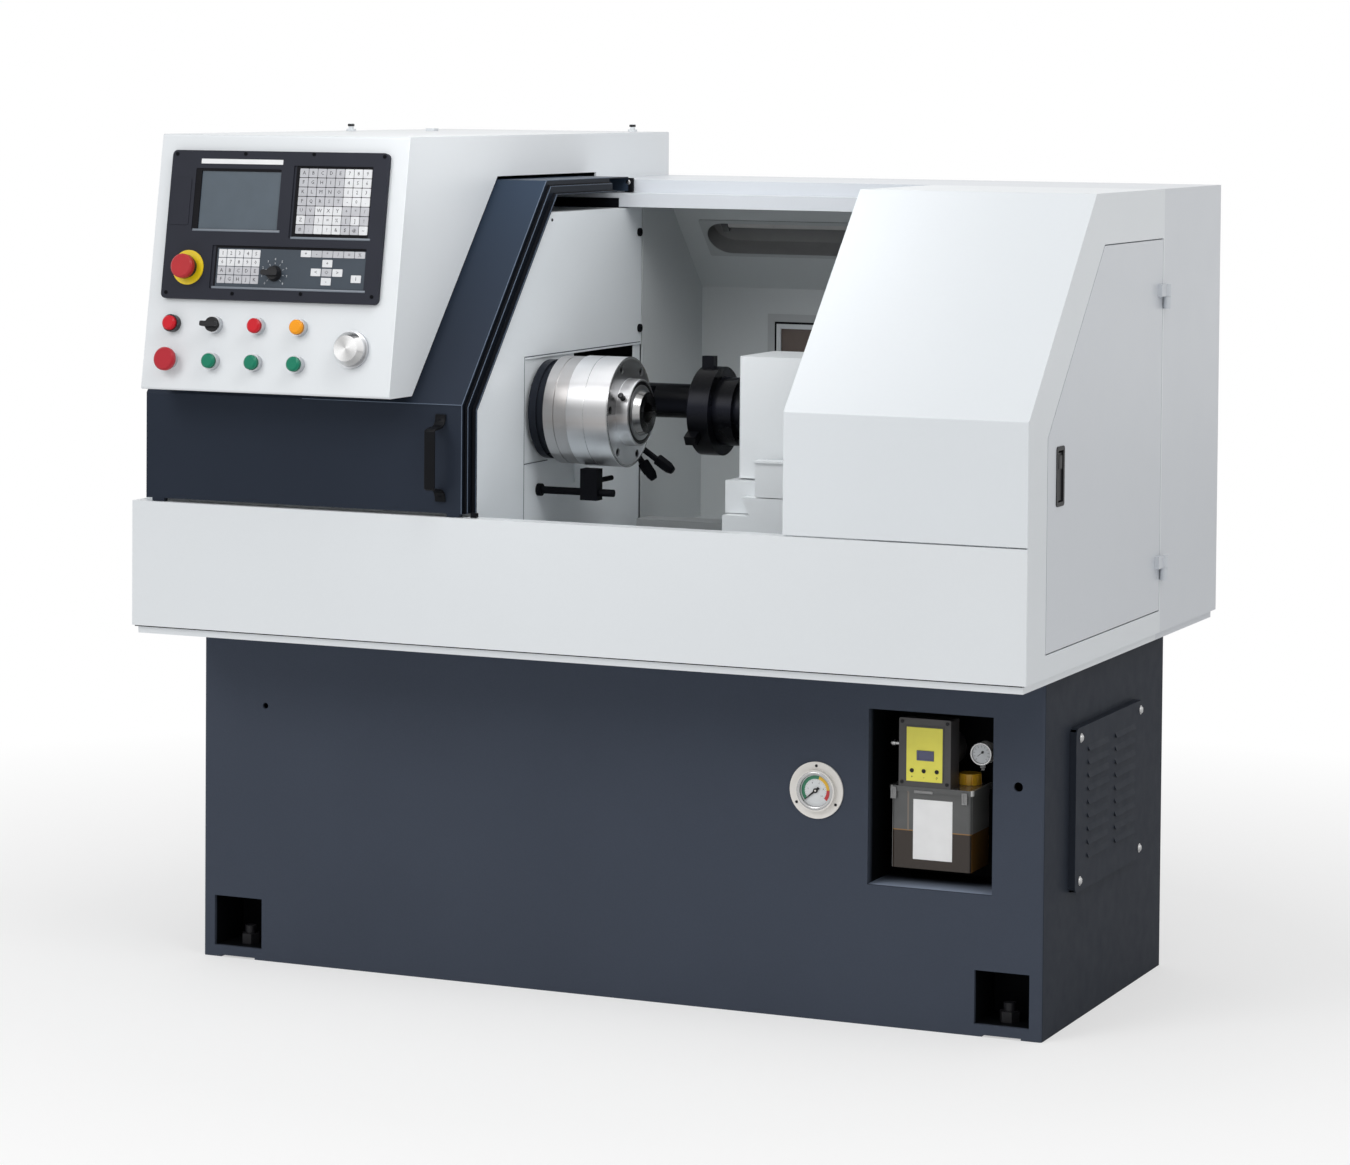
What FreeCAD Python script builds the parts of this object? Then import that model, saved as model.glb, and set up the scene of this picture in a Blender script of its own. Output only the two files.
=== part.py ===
import FreeCAD, Part
import math
import os

# Turning lathe with a sheet metal guard, a sliding door, a tilted control cabinet and a collet chuck.
# Sizes are in millimetres. X runs along the spindle to the right, Y to the back, Z up.
# While modelling, zero is the base's front left corner on the floor.
# save() moves every piece so that the row's origin is the middle of the base's underside.

V = FreeCAD.Vector
ALONG = V(1, 0, 0)
BACK = V(0, 1, 0)
UP = V(0, 0, 1)

# Base cabinet
base_length = 1582
base_depth = 667
base_height = 603
base_wall = 6
base_edge_radius = 5
foot_pocket_width = 96
foot_pocket_height = 90
foot_pocket_depth = 105
foot_pocket_inset = 22
foot_pocket_floor = 20
skirt_notch_width = 68
skirt_notch_height = 3
skirt_notch_inset = 36
skirt_notch_depth = 75
top_flange = 45
bolt_inset_x = 71
bolt_inset_y = 45
bolt_radius = 10
bolt_clearance = 1
bolt_stand = 32
bolt_pad_radius = 26
bolt_pad_gap = 0.4
nut_flat = 30
nut_height = 18
niche_end_gap = 89
niche_width = 220
niche_top_gap = 71
niche_height = 296
niche_depth = 150
niche_wall = 3
right_hole_inset = 45
right_hole_height = 420
right_hole_radius = 8
left_hole_inset = 124
left_hole_height = 458
left_hole_radius = 5.5

# Louvred cover on the base's right side, with places along the depth from the base's front
louvre_front = 131
louvre_width = 377
louvre_foot = 224
louvre_height = 277
louvre_rise = 12
louvre_corner = 12
louvre_wall = 2
louvre_frame = 18
louvre_first = 62.5
louvre_first_height = 51
louvre_column_pitch = 151.5
louvre_rows = 9
louvre_pitch = 22.6
louvre_slot = 112
louvre_lip = 9
louvre_out = 4
louvre_edge = 1
louvre_lip_wall = 1.4
louvre_slot_gap = 1
louvre_lip_foot = 2

# Dial gauge on the base's front
gauge_niche_gap = 92
gauge_top_gap = 215
gauge_flange_radius = 48
gauge_flange = 3
gauge_bezel_radius = 35
gauge_out = 11
gauge_body_radius = 30
gauge_hole_clearance = 0.5
gauge_can_depth = 40
gauge_dial_radius = 31
gauge_dial_depth = 6
arbor_radius = 1.5
needle_length = 25
needle_tail = 8
needle_wide = 2.2
needle_narrow = 0.6
needle_hub_radius = 4
needle_lift = 1
needle_thickness = 1
hub_thickness = 2
arbor_length = 3
needle_rest_angle = 50

# Lubricator in the niche
pump_inset = 40
pump_width = 92
pump_front = 38
pump_depth = 42
pump_height = 115
pump_edge = 3
pump_plate_rim = 12
pump_plate_foot = 14
pump_motor_radius = 32
pump_motor_inset = 52
pump_motor_rise = 55
pump_motor_back_gap = 8
outlet_radius = 4
outlet_length = 20
outlet_depth = 20
outlet_rise = 68
tank_inset = 27
tank_width = 142
tank_front = 40
tank_depth = 95
tank_top_rise = 164
tank_height = 138
tank_wall = 3
tank_edge_radius = 6
tank_rim_side = 4
tank_rim_height = 9
tank_rib_inset = 20
neck_radius = 17
neck_height = 8
cap_inset = 116
cap_y = 105
cap_radius = 20
cap_height = 19
cap_ribs = 12
cap_gap = 0.4
cap_groove_radius = 1.4
cap_groove_top = 3
lube_gauge_radius = 19
lube_gauge_rim = 3
lube_gauge_depth = 24
lube_gauge_sink = 2
lube_stem_radius = 5
lube_gauge_inset = 183
lube_gauge_y = 45
lube_gauge_rise = 226

# Drip tray and sheet metal guard
sheet = 2.5
bend_radius = 4
overhang_side = 33
overhang_front = 197
lip_height = 14
lip_inset = 8
apron_height = 219
front_guard_depth = 728
rear_guard_depth = 354
hood_length = 421
hood_front_height = 204
guard_height = 778
hood_slant_run = 339
hood_gap = 2.5
sill_width = 34
bearer_width = 40
tray_right_height = 33
hood_flange = 14
rail_wall = 3
rail_reach = 38
rail_top_gap = 10
rail_height = 49
rail_step_height = 24
cover_offset = 30
cover_end_gap = 18
cover_drop = 56
cover_bed_gap = 2
bar_hole_radius = 32

# Lining of the work area, its lamp and its window
liner_height = 440
liner_back_gap = 71
liner_slope_run = 196
liner_slope_rise = 207.5
lamp_wall_gap = 44
lamp_length = 420
lamp_low = 87
lamp_width = 95
lamp_frame_rim = 5.5
lamp_depth = 35
lamp_tube_height = 158
lamp_tube_radius = 8
lamp_end = 52
lamp_sheet = 2
lamp_corner = 4
lamp_holder_length = 12
lamp_holder_half = 12
lamp_holder_gap = 6
lamp_tube_depth = 15
window_wall_gap = 137
window_width = 260
window_rise = 192
window_height = 200
window_frame = 17
window_frame_out = 3

# Plate between the work area and the spindle
guard_plate_overlap = 26
guard_plate_height = 346
guard_plate_lap = 10
notch_behind_spindle = 118
notch_length = 260
notch_drop = 29
guard_seam_rise = 160
pad_behind_spindle = 118
pad_width = 46
pad_height = 36
pad_thickness = 4
pad_rise = 115
spindle_hole_radius = 60

# Sliding door
door_length = 615
door_left = -9
door_inset = 7
door_sheet = 2
door_fold_rise = 190
door_top_rise = 5
door_slant_run = 328
door_seam_gap = 41
door_wall_lap = 10
door_end_flange = 26
door_floor_gap = 6
jamb_width = 16
jamb_step = 24
jamb_back = 86
glide_clearance = 0.4
glide_length = 24
glide_depth = 12
glide_left_inset = 12
glide_right_inset = 28
glide_lap = 4
jamb_split = 0.4
handle_end_gap = 39
handle_rise = 20
handle_height = 148
handle_bar_radius = 8.5
handle_bend = 13.6
handle_foot_radius = 4
handle_stand = 38
handle_foot_half = 13
handle_foot_thickness = 9

# Service door in the right side, its hinges and its latch
service_front_margin = 96
service_seam_gap = 8
service_foot_rise = 40
service_top_drop = 88
service_fold_drop = 34
service_slant_inset = 47
service_gap = 2
service_rim = 10
hinge_low_rise = 53
hinge_high_drop = 121
hinge_half = 21.6
hinge_gap = 0.4
hinge_radius = 7
hinge_pin_radius = 3
hinge_stand = 0.5
hinge_setback = 4
hinge_leaf = 29
hinge_frame_leaf = 10
latch_inset = 46
latch_width = 34
latch_rise = 277
latch_height = 92
latch_depth = 20
latch_wall = 4
latch_pivot_depth = 4
latch_pivot_rise = 9
latch_pivot_radius = 2
latch_flange = 3
latch_flange_thickness = 1.5
latch_corner = 6
latch_floor = 3
latch_play = 0.4
lever_half = 3
lever_top_gap = 8
lever_pad_inset = 9
lever_pad_thickness = 2
lever_pad_foot = 34
lever_pad_top = 12
pivot_play = 0.3

# Control cabinet
cabinet_left = 32
cabinet_length = 481
cabinet_foot_out = 88
cabinet_foot_rise = 13
cabinet_head_out = 14
cabinet_top_rise = 83
cabinet_front_gap = 4
cabinet_slant_gap = 6
cabinet_top_gap = 6
cabinet_step = 18
stud_front_gap = 109
stud_back_gap = 25
stud_left_inset = 34
stud_right_inset = 66
stud_base_radius = 9
stud_radius = 5
stud_height = 14
plug_behind_seam = 27
plug_inset = 121
plug_size = 18
plug_height = 5

# Operator plate on the cabinet's tilted face, measured from the face's lower left corner
plate_width = 420
plate_height = 258
plate_left = 28
plate_foot = 158
plate_thickness = 9
screen_box = (77, 278, 167, 107)
key_field_box = (268, 267, 152, 125)
lower_field_box = (122, 177, 298, 75)
key_gap = 1.2
key_thickness = 1.6
letter_columns = 8
letter_rows = 7
letter_pitch_x = 17.6
letter_pitch_y = 16.3
letter_margin = 6
mode_columns = 5
mode_rows = 4
mode_pitch_x = 18.2
mode_pitch_y = 15.4
mode_margin_x = 4
mode_margin_y = 8
strip_keys = 6
strip_pitch = 20.9
strip_key_height = 12.5
strip_inset = 167
strip_rise = 57
arrow_width = 20
arrow_height = 14
arrow_inset = 210.5
arrow_rise = 26.5
arrow_step_x = 20.75
arrow_step_y = 15.5
start_inset = 267.5
start_rise = 16.5
button_columns = (53, 136, 219, 301)
button_row_high = 115
button_row_low = 52
handwheel_place = (404, 81)
stop_place = (78, 212)
knob_place = (246, 206)
port_width = 36
port_height = 82
port_inset = 6
port_rise = 128
well_depth = 4
field_depth = 2.5
glass_thickness = 1.5
glass_gap = 1
stem_radius = 4
stem_depth = 14
barrel_radius = 11.2
barrel_depth = 18
collar_radius = 15
collar_rise = 12
collar_floor = 4
collar_play = 0.6
barrel_play = 0.2
mushroom_rise = 5
head_radius = 12.5
mushroom_radius = 20
button_travel = 3
button_height = 20
stop_travel = 4
stop_ring_radius = 30
stop_neck = 6
stop_radius = 21
stop_rim = 12
stop_ring_thickness = 2
stop_neck_radius = 12
stop_neck_length = 8
stop_lift = 1.5
stop_head_height = 12
stop_stem_depth = 8
rest_gap = 0.5
head_bevel = 3
knob_radius = 14
knob_skirt = 10
knob_taper = 3
knob_seat = 2.2
knob_grip_height = 8
grip_width = 9
grip_overhang = 4
selector_length = 31
selector_back = 18
selector_sink = 4
handwheel_base_radius = 32
handwheel_base = 6
handwheel_radius = 29
handwheel_rim = 8
handwheel_dome = 11
handwheel_taper = 7

# Headstock, spindle and chuck
spindle_behind_bed = 62
spindle_rise = 255
spindle_bore = 20
spigot_radius = 40
spigot_length = 10
spindle_flange_gap = 6
spindle_flange_thickness = 14
spindle_seat_step = 4
barrel_wall_gap = 5
barrel_step = 2
chuck_radius = 96
chuck_length = 123
chuck_wall_gap = 37
boss_radius = 58.5
boss_length = 23
boss_mouth_radius = 55
boss_ring_radius = 48
boss_mouth_depth = 3
boss_chamfer = 1.5
chuck_step = 2
chuck_groove = 19
chuck_groove_width = 2
chuck_groove_depth = 1.5
chuck_split = 44
chuck_split_width = 1.5
chuck_split_depth = 1
socket_count = 6
socket_radius = 7
socket_circle = 82
socket_depth = 9
socket_first_angle = 54
collet_nose = 12
collet_bore = 18
collet_shank = 32
collet_face_radius = 40
collet_tip_radius = 36
collet_seat_gap = 2
collet_slots = 3
collet_slot_width = 1.6
collet_slot_length = 40
collet_first_angle = 30
bearing_clearance = 0.05
spindle_left = 40
spindle_step = 400
spindle_rear_radius = 38
spindle_front_radius = 45
spindle_flange_radius = 87
bearing_wall = 17
front_bearing_inset = 46
front_bearing_length = 40
rear_bearing_inset = 5
rear_bearing_length = 35
headstock_length = 276
headstock_wall_gap = 7.5
pulley_left = 60
pulley_width = 60
pulley_rim = 4
pulley_radius = 70
motor_pulley_radius = 46
motor_behind_bed = 340
motor_rise = 90
motor_left = 140
motor_right = 400
motor_radius = 80
motor_shaft_radius = 14
motor_shaft_seat = 60
motor_shaft_out = 10
motor_foot_half = 70
motor_foot_inset = 40
motor_foot_height = 30
shaft_end_gap = 5
belt_gap = 0.3
belt_thickness = 8
belt_rim_gap = 1

# Bed and slides
bed_left = 40
bed_end_gap = 82
bed_behind_seam = 29
bed_depth = 500
bed_height = 125.5
way_height = 30
way_width = 60
slide_gap = 0.2
saddle_left = 966
saddle_length = 260
saddle_inset = 30
saddle_depth = 480
saddle_plate = 57.3
dovetail_height = 32
dovetail_width = 150
dovetail_slope = 17
dovetail_left = 1000
dovetail_gap = 0.1
saddle_lip_gap = 2
saddle_lip_width = 12
nut_half_length = 30
nut_half_width = 25
cross_left = 959
cross_length = 250
cross_inset = 30
cross_depth = 330
cross_gap = 1.2
cross_height = 55.8
drive_inset = 67
drive_length = 120
drive_out = 30
drive_gap = 1.5
drive_rise = 35.5
lid_rim = 3
lid_thickness = 3.5
holder_inset = 16
holder_length = 100
holder_half = 50
bed_wall = 20
carriage_screw_drop = 23
carriage_screw_radius = 12.5
screw_journal_radius = 10
screw_left_gap = 6
screw_end_gap = 0.5
screw_motor_seat = 30
trough_wall_gap = 24
way_inset = 40
trough_width = 80
trough_depth = 55
feed_motor_size = 80
feed_motor_length = 90
feed_motor_edge = 8
head_left = 973.5
head_length = 250
head_before_disc = 80
head_depth = 160
head_plinth = 3
head_plinth_inset = 12
head_height = 210.5
head_edge_radius = 6
disc_behind_spindle = 100
disc_radius = 78
disc_left = 873.5
disc_length = 40
bar_behind_disc = 173
bar_radius = 31
insert_seat_length = 22
insert_seat_depth = 14
bar_left = 692
bar_right = 1060
disc_lug_radius = 96
disc_lug_width = 17
disc_shaft_radius = 30
disc_shaft_length = 60
disc_mouth_radius = 22
disc_mouth_depth = 12
disc_chamfer = 2
disc_hub_radius = 60
disc_neck_radius = 50
disc_neck_length = 24
disc_seat_gap = 0.5
disc_lugs = 3
disc_lug_length = 22

# Nozzles and stop on the spindle's side of the work area
nozzle_behind_spindle = 113
nozzle_drop = 50
nozzle_reach = 101.5
nozzle_pipe_radius = 8
nozzle_flange_radius = 12
manifold_length = 30
manifold_half = 12
nozzle_hose_radius = 5.5
nozzle_head_radius = 9
nozzle_head_length = 20
nozzle_tip_length = 14
long_nozzle_reach = 93
long_nozzle_drop = 61
short_nozzle_reach = 57
short_nozzle_drop = 77
flange_thickness = 8
stop_before_spindle = 27
stop_drop = 140.5
stop_flange_radius = 11
stop_bar_radius = 6.5
stop_bar_length = 146
stop_block_left = 86.5
stop_block_length = 32
stop_block_half = 12
stop_block_low = 13.5
stop_block_high = 41.5
stop_pin_radius = 4.5
stop_pin_inset = 10
stop_pin_length = 60
stop_pin_rise = 19.5

# Values worked out from the driving sizes
niche_left = base_length - niche_end_gap - niche_width
niche_bottom = base_height - niche_top_gap - niche_height
gauge_x = niche_left - gauge_niche_gap
gauge_z = base_height - gauge_top_gap
pump_left = niche_left + pump_inset
tank_left = niche_left + tank_inset
tank_top = niche_bottom + tank_top_rise
cap_x = tank_left + cap_inset
lube_gauge_x = niche_left + lube_gauge_inset
lube_gauge_z = niche_bottom + lube_gauge_rise
tray_bottom = base_height + lip_height
apron_top = tray_bottom + apron_height
guard_left = -overhang_side
guard_right = base_length + overhang_side
guard_front = -overhang_front
guard_seam = guard_front + front_guard_depth
guard_back = guard_seam + rear_guard_depth
guard_top = tray_bottom + guard_height
hood_left = guard_right - hood_length
hood_fold = apron_top + hood_front_height
hood_slant_top = guard_front + hood_slant_run
door_right = door_left + door_length
door_front = guard_front + door_inset
door_bottom = apron_top + door_floor_gap
door_fold_height = apron_top + door_fold_rise
door_top = guard_top + door_top_rise
door_slant_top = door_front + door_slant_run
door_back = guard_seam - door_seam_gap
handle_x = door_right - handle_end_gap
handle_foot = door_bottom + handle_rise
rail_front = door_back - rail_reach
rail_step = door_back + rail_top_gap
rail_bottom = guard_top - rail_height
rail_ledge = guard_top - rail_step_height
cover_top = door_top - cover_drop
cover_left = door_left - cover_end_gap
wall_right_face = door_right + door_wall_lap
guard_face = wall_right_face - sheet
service_front = guard_front + service_front_margin
service_back = guard_seam - service_seam_gap
service_foot = tray_bottom + service_foot_rise
service_top = guard_top - service_top_drop
service_fold = hood_fold - service_fold_drop
service_slant_top = hood_slant_top + service_slant_inset
hinge_x = guard_right + hinge_radius + hinge_stand
hinge_y = service_back + hinge_setback
hinge_low = service_foot + hinge_low_rise
hinge_high = service_top - hinge_high_drop
latch_y = service_front + latch_inset
latch_foot = tray_bottom + latch_rise
latch_pivot_x = guard_right - latch_pivot_depth
latch_pivot_z = latch_foot + latch_pivot_rise
cabinet_foot_y = door_front - cabinet_foot_out
cabinet_head_y = door_front - cabinet_head_out
cabinet_cut_foot_y = door_front - cabinet_front_gap
cabinet_cut_head_y = door_slant_top - cabinet_slant_gap
cabinet_step_y = guard_seam + cabinet_step
cabinet_foot_z = door_fold_height + cabinet_foot_rise
cabinet_cut_z = door_top + cabinet_top_gap
cabinet_top = guard_top + cabinet_top_rise
bed_foot = tray_bottom + sheet
bed_top = bed_foot + bed_height
bed_back = guard_seam + bed_behind_seam
bed_front = bed_back - bed_depth
bed_right = base_length - bed_end_gap
way_top = bed_top + way_height
way_front = bed_front + way_inset
way_back = bed_back - way_inset
liner_floor = bed_top
liner_back = guard_back - liner_back_gap
liner_fold = liner_floor + liner_height
lamp_left = wall_right_face + lamp_wall_gap
window_left = wall_right_face + window_wall_gap
window_foot = liner_floor + window_rise
spindle_y = bed_front + spindle_behind_bed
spindle_z = bed_top + spindle_rise
headstock_right = guard_face - headstock_wall_gap
headstock_left = headstock_right - headstock_length
front_bearing_left = headstock_right - front_bearing_inset
rear_bearing_left = headstock_left + rear_bearing_inset
chuck_back = wall_right_face + chuck_wall_gap
chuck_front = chuck_back + chuck_length
motor_y = bed_front + motor_behind_bed
motor_z = bed_top + motor_rise
guard_plate_front = bed_front - guard_plate_overlap
guard_plate_top = bed_top + guard_plate_height
guard_seam_height = bed_top + guard_seam_rise
notch_front = spindle_y + notch_behind_spindle
pad_front = spindle_y + pad_behind_spindle
pad_foot = bed_top + pad_rise
trough_left = wall_right_face + trough_wall_gap
trough_right = bed_right - bed_wall
trough_bottom = bed_top - trough_depth
carriage_screw_y = bed_front + bed_depth / 2
carriage_screw_z = bed_top - carriage_screw_drop
saddle_front = bed_front + saddle_inset
saddle_top = way_top + slide_gap + saddle_plate
cross_front = saddle_front + cross_inset
cross_bottom = saddle_top + cross_gap
cross_top = cross_bottom + cross_height
disc_y = spindle_y + disc_behind_spindle
head_front = disc_y - head_before_disc
head_bottom = cross_top + head_plinth
head_top = head_bottom + head_height
bar_y = disc_y + bar_behind_disc
nozzle_y = spindle_y + nozzle_behind_spindle
nozzle_z = spindle_z - nozzle_drop
stop_y = spindle_y - stop_before_spindle
stop_z = spindle_z - stop_drop
face_angle = math.degrees(math.atan2(cabinet_top - cabinet_foot_z, cabinet_head_y - cabinet_foot_y))


def box(x0, x1, y0, y1, z0, z1):
    return Part.makeBox(x1 - x0, y1 - y0, z1 - z0, V(x0, y0, z0))


def rod(radius, x0, x1, y, z):
    return Part.makeCylinder(radius, x1 - x0, V(x0, y, z), V(1, 0, 0))


def pin(radius, x, y0, y1, z):
    return Part.makeCylinder(radius, y1 - y0, V(x, y0, z), V(0, 1, 0))


def post(radius, x, y, z0, z1):
    return Part.makeCylinder(radius, z1 - z0, V(x, y, z0))


def joined(shapes):
    return shapes[0].multiFuse(shapes[1:]).removeSplitter()


def face_x(points, x):
    corners = [V(x, y, z) for y, z in points]
    return Part.Face(Part.makePolygon(corners + corners[:1]))


def prism_x(points, x0, x1):
    return face_x(points, x0).extrude(V(x1 - x0, 0, 0))


def direction(start, end):
    step = V(end[0] - start[0], end[1] - start[1], 0)
    return step.normalize()


def offset_line(points, distance):
    """The same open run of YZ points moved to its right by a distance, with mitred corners."""
    moved = []
    for index, point in enumerate(points):
        before = points[index - 1] if index > 0 else None
        after = points[index + 1] if index < len(points) - 1 else None
        first = direction(before, point) if before else direction(point, after)
        second = direction(point, after) if after else first
        share = distance / (1 + first.dot(second))
        moved.append((point[0] + (first.y + second.y) * share, point[1] - (first.x + second.x) * share))
    return moved


def strip_x(points, wall, x0, x1):
    """A folded sheet along X. Its outer line in YZ is an open run of points, the sheet to its right."""
    return prism_x(list(points) + offset_line(points, wall)[::-1], x0, x1)


def prism_y(points, y0, y1):
    corners = [V(x, y0, z) for x, z in points]
    face = Part.Face(Part.makePolygon(corners + corners[:1]))
    return face.extrude(V(0, y1 - y0, 0))


def rounded(shape, radius, axis, chosen):
    """Rounds the straight edges parallel to an axis whose middle passes the chosen test."""
    edges = []
    for edge in shape.Edges:
        if edge.Curve.TypeId != "Part::GeomLine":
            continue
        along = abs(edge.tangentAt(edge.FirstParameter).dot(axis))
        if along > 0.999 and chosen(edge.CenterOfMass):
            edges.append(edge)
    return shape.makeFillet(radius, edges)


def at_points(points):
    """A test that is true for an edge whose middle lies on one of the YZ points."""
    return lambda middle: any(abs(middle.y - y) < 0.1 and abs(middle.z - z) < 0.1 for y, z in points)


def turned_x(profile, y, z):
    """A solid of revolution about the X line through y, z, from (x, radius) points."""
    corners = [V(x, y + radius, z) for x, radius in profile]
    face = Part.Face(Part.makePolygon(corners + corners[:1]))
    return face.revolve(V(0, y, z), V(1, 0, 0), 360)


def round_box(width, height, depth, radius):
    """A plate in its own XY plane with rounded corners, from z = 0 up to its depth."""
    return rounded(Part.makeBox(width, height, depth), radius, UP, lambda middle: True)


def on_face(shape):
    """Carries a shape from the tilted face's own frame, X right, Y up the face, Z outward."""
    turn = FreeCAD.Rotation(ALONG, face_angle)
    place = FreeCAD.Placement(V(cabinet_left, cabinet_foot_y, cabinet_foot_z), turn)
    return shape.transformed(place.toMatrix())


def save(name, shape):
    placed = shape.translated(V(-base_length / 2, -base_depth / 2, 0))
    placed.exportStep("parts/" + name + ".step")
    print(name, len(placed.Solids), round(placed.Volume), placed.isValid())


# Base cabinet and what stands in it


def base_corners(inset_x, inset_y):
    """The four corner places, each with the outward X and Y signs."""
    for side, x in ((-1, inset_x), (1, base_length - inset_x)):
        for end, y in ((-1, inset_y), (1, base_depth - inset_y)):
            yield side, end, x, y


def foot_pocket(side, end):
    """A corner pocket's space, open to the front or the back."""
    x0 = foot_pocket_inset if side < 0 else base_length - foot_pocket_inset - foot_pocket_width
    y0 = 0 if end < 0 else base_depth - foot_pocket_depth
    return (x0, x0 + foot_pocket_width, y0, y0 + foot_pocket_depth, foot_pocket_floor,
            foot_pocket_floor + foot_pocket_height)


def niche_space():
    return (niche_left, niche_left + niche_width, 0, niche_depth, niche_bottom, niche_bottom + niche_height)


def plates_around(space, floor_drop):
    """The five plates of a box let into the front or back wall: floor, roof, two sides and end."""
    x0, x1, y0, y1, z0, z1 = space
    wall = niche_wall
    open_front = y0 == 0
    inner = y1 if open_front else y0 - wall
    front = base_wall if open_front else y0
    back = y1 if open_front else base_depth - base_wall
    return [box(x0 - wall, x1 + wall, front, back, z0 - floor_drop, z0),
            box(x0 - wall, x1 + wall, front, back, z1, z1 + wall),
            box(x0 - wall, x0, front, back, z0, z1),
            box(x1, x1 + wall, front, back, z0, z1),
            box(x0 - wall, x1 + wall, inner, inner + wall, z0 - floor_drop, z1 + wall)]


def skirt_notch(side, end):
    x0 = skirt_notch_inset if side < 0 else base_length - skirt_notch_inset - skirt_notch_width
    y0 = 0 if end < 0 else base_depth - skirt_notch_depth
    return (x0, x0 + skirt_notch_width, y0, y0 + skirt_notch_depth, 0, skirt_notch_height)


def strips_around(plate, spaces):
    """An upright plate cut into plain strips, which leave the spaces' openings free between them."""
    edges = sorted({0, base_length} | {edge for space in spaces for edge in space[:2]})
    strips = []
    for x0, x1 in zip(edges, edges[1:]):
        low = 0
        for space in sorted(spaces, key=lambda space: space[4]):
            if space[0] <= x0 and x1 <= space[1]:
                if space[4] > low:
                    strips.append(plate.common(box(x0, x1, 0, base_depth, low, space[4])))
                low = space[5]
        strips.append(plate.common(box(x0, x1, 0, base_depth, low, base_height)))
    return strips


def base_walls():
    """Front and back walls in strips, the side walls between them, floor and top frame."""
    wall = base_wall
    x1, y1, z1 = base_length, base_depth, base_height
    front = rounded(box(0, x1, 0, wall, 0, z1), base_edge_radius, UP, lambda middle: middle.y < 1)
    back = rounded(box(0, x1, y1 - wall, y1, 0, z1), base_edge_radius, UP,
                   lambda middle: middle.y > y1 - 1)
    front_spaces = [niche_space()]
    back_spaces = []
    for side in (-1, 1):
        front_spaces += [foot_pocket(side, -1), skirt_notch(side, -1)]
        back_spaces += [foot_pocket(side, 1), skirt_notch(side, 1)]
    sides = [box(0, wall, wall, y1 - wall, 0, z1), box(x1 - wall, x1, wall, y1 - wall, 0, z1)]
    floor = box(wall, x1 - wall, wall, y1 - wall, 0, wall)
    frame = box(wall, x1 - wall, wall, y1 - wall, z1 - wall, z1)
    frame = frame.cut(box(top_flange, x1 - top_flange, top_flange, y1 - top_flange, z1 - wall, z1))
    upright = strips_around(front, front_spaces) + strips_around(back, back_spaces)
    return upright + [floor, frame] + sides


def base_cabinet():
    """The cabinet, welded from plates, with the lubricator's niche and the four foot pockets."""
    plates = plates_around(niche_space(), niche_wall)
    hollows = []
    floors = []
    for side, end, x, y in base_corners(bolt_inset_x, bolt_inset_y):
        pocket = foot_pocket(side, end)
        floor, *others = plates_around(pocket, foot_pocket_floor)
        plates += others
        notch = box(*skirt_notch(side, end))
        hollows += [floor, notch]
        hole = post(bolt_radius + bolt_clearance, x, y, 0, foot_pocket_floor)
        floors.append(floor.cut(Part.makeCompound([hole, notch])))
    hollows += plates
    vent = louvre_frame + louvre_wall
    wall = base_wall
    hollows.append(box(base_length - wall, base_length, louvre_front + vent,
                       louvre_front + louvre_width - vent, louvre_foot + vent,
                       louvre_foot + louvre_height - vent))
    hollows.append(pin(right_hole_radius, base_length - right_hole_inset, 0, wall, right_hole_height))
    hollows.append(pin(left_hole_radius, left_hole_inset, 0, wall, left_hole_height))
    hollows.append(pin(gauge_body_radius + gauge_hole_clearance, gauge_x, 0, wall, gauge_z))
    walls = [wall.cut(Part.makeCompound(hollows)) for wall in base_walls()]
    return Part.makeCompound(walls + plates + floors)


def levelling_bolts():
    bolts = []
    for side, end, x, y in base_corners(bolt_inset_x, bolt_inset_y):
        pad = post(bolt_pad_radius, x, y, 0, skirt_notch_height - bolt_pad_gap)
        stud = post(bolt_radius, x, y, 0, foot_pocket_floor + bolt_stand)
        nut = hexagon(nut_flat, x, y, foot_pocket_floor, foot_pocket_floor + nut_height)
        bolts.append(joined([pad, stud, nut]))
    return Part.makeCompound(bolts)


def hexagon(across_flats, x, y, z0, z1):
    reach = across_flats / math.sqrt(3)
    corners = []
    for turn in range(6):
        angle = math.radians(60 * turn)
        corners.append(V(x + reach * math.cos(angle), y + reach * math.sin(angle), z0))
    return Part.Face(Part.makePolygon(corners + corners[:1])).extrude(V(0, 0, z1 - z0))


def louvre_cover():
    """A shallow pressed box with two columns of louvres, each a slot under a raised lip."""
    x0 = base_length
    plate = box(x0, x0 + louvre_rise, louvre_front, louvre_front + louvre_width,
                louvre_foot, louvre_foot + louvre_height)
    plate = rounded(plate, louvre_corner, ALONG, lambda middle: True)
    wall = louvre_wall
    plate = plate.cut(box(x0, x0 + louvre_rise - wall, louvre_front + wall,
                          louvre_front + louvre_width - wall, louvre_foot + wall,
                          louvre_foot + louvre_height - wall))
    front = x0 + louvre_rise
    lips = []
    slots = []
    for column in range(2):
        y0 = louvre_front + louvre_first + column * louvre_column_pitch
        for row in range(louvre_rows):
            z0 = louvre_foot + louvre_first_height + row * louvre_pitch
            top = z0 + louvre_lip
            out = front + louvre_out
            lip = [(front - wall, top), (front, top), (out, z0), (out - louvre_edge, z0),
                   (front - wall, top - louvre_lip_wall)]
            lips.append(prism_y(lip, y0, y0 + louvre_slot))
            slots.append(box(front - wall, front, y0 + louvre_slot_gap, y0 + louvre_slot - louvre_slot_gap,
                             z0, top - louvre_lip_foot))
    return joined([plate.cut(Part.makeCompound(slots))] + lips)


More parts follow.
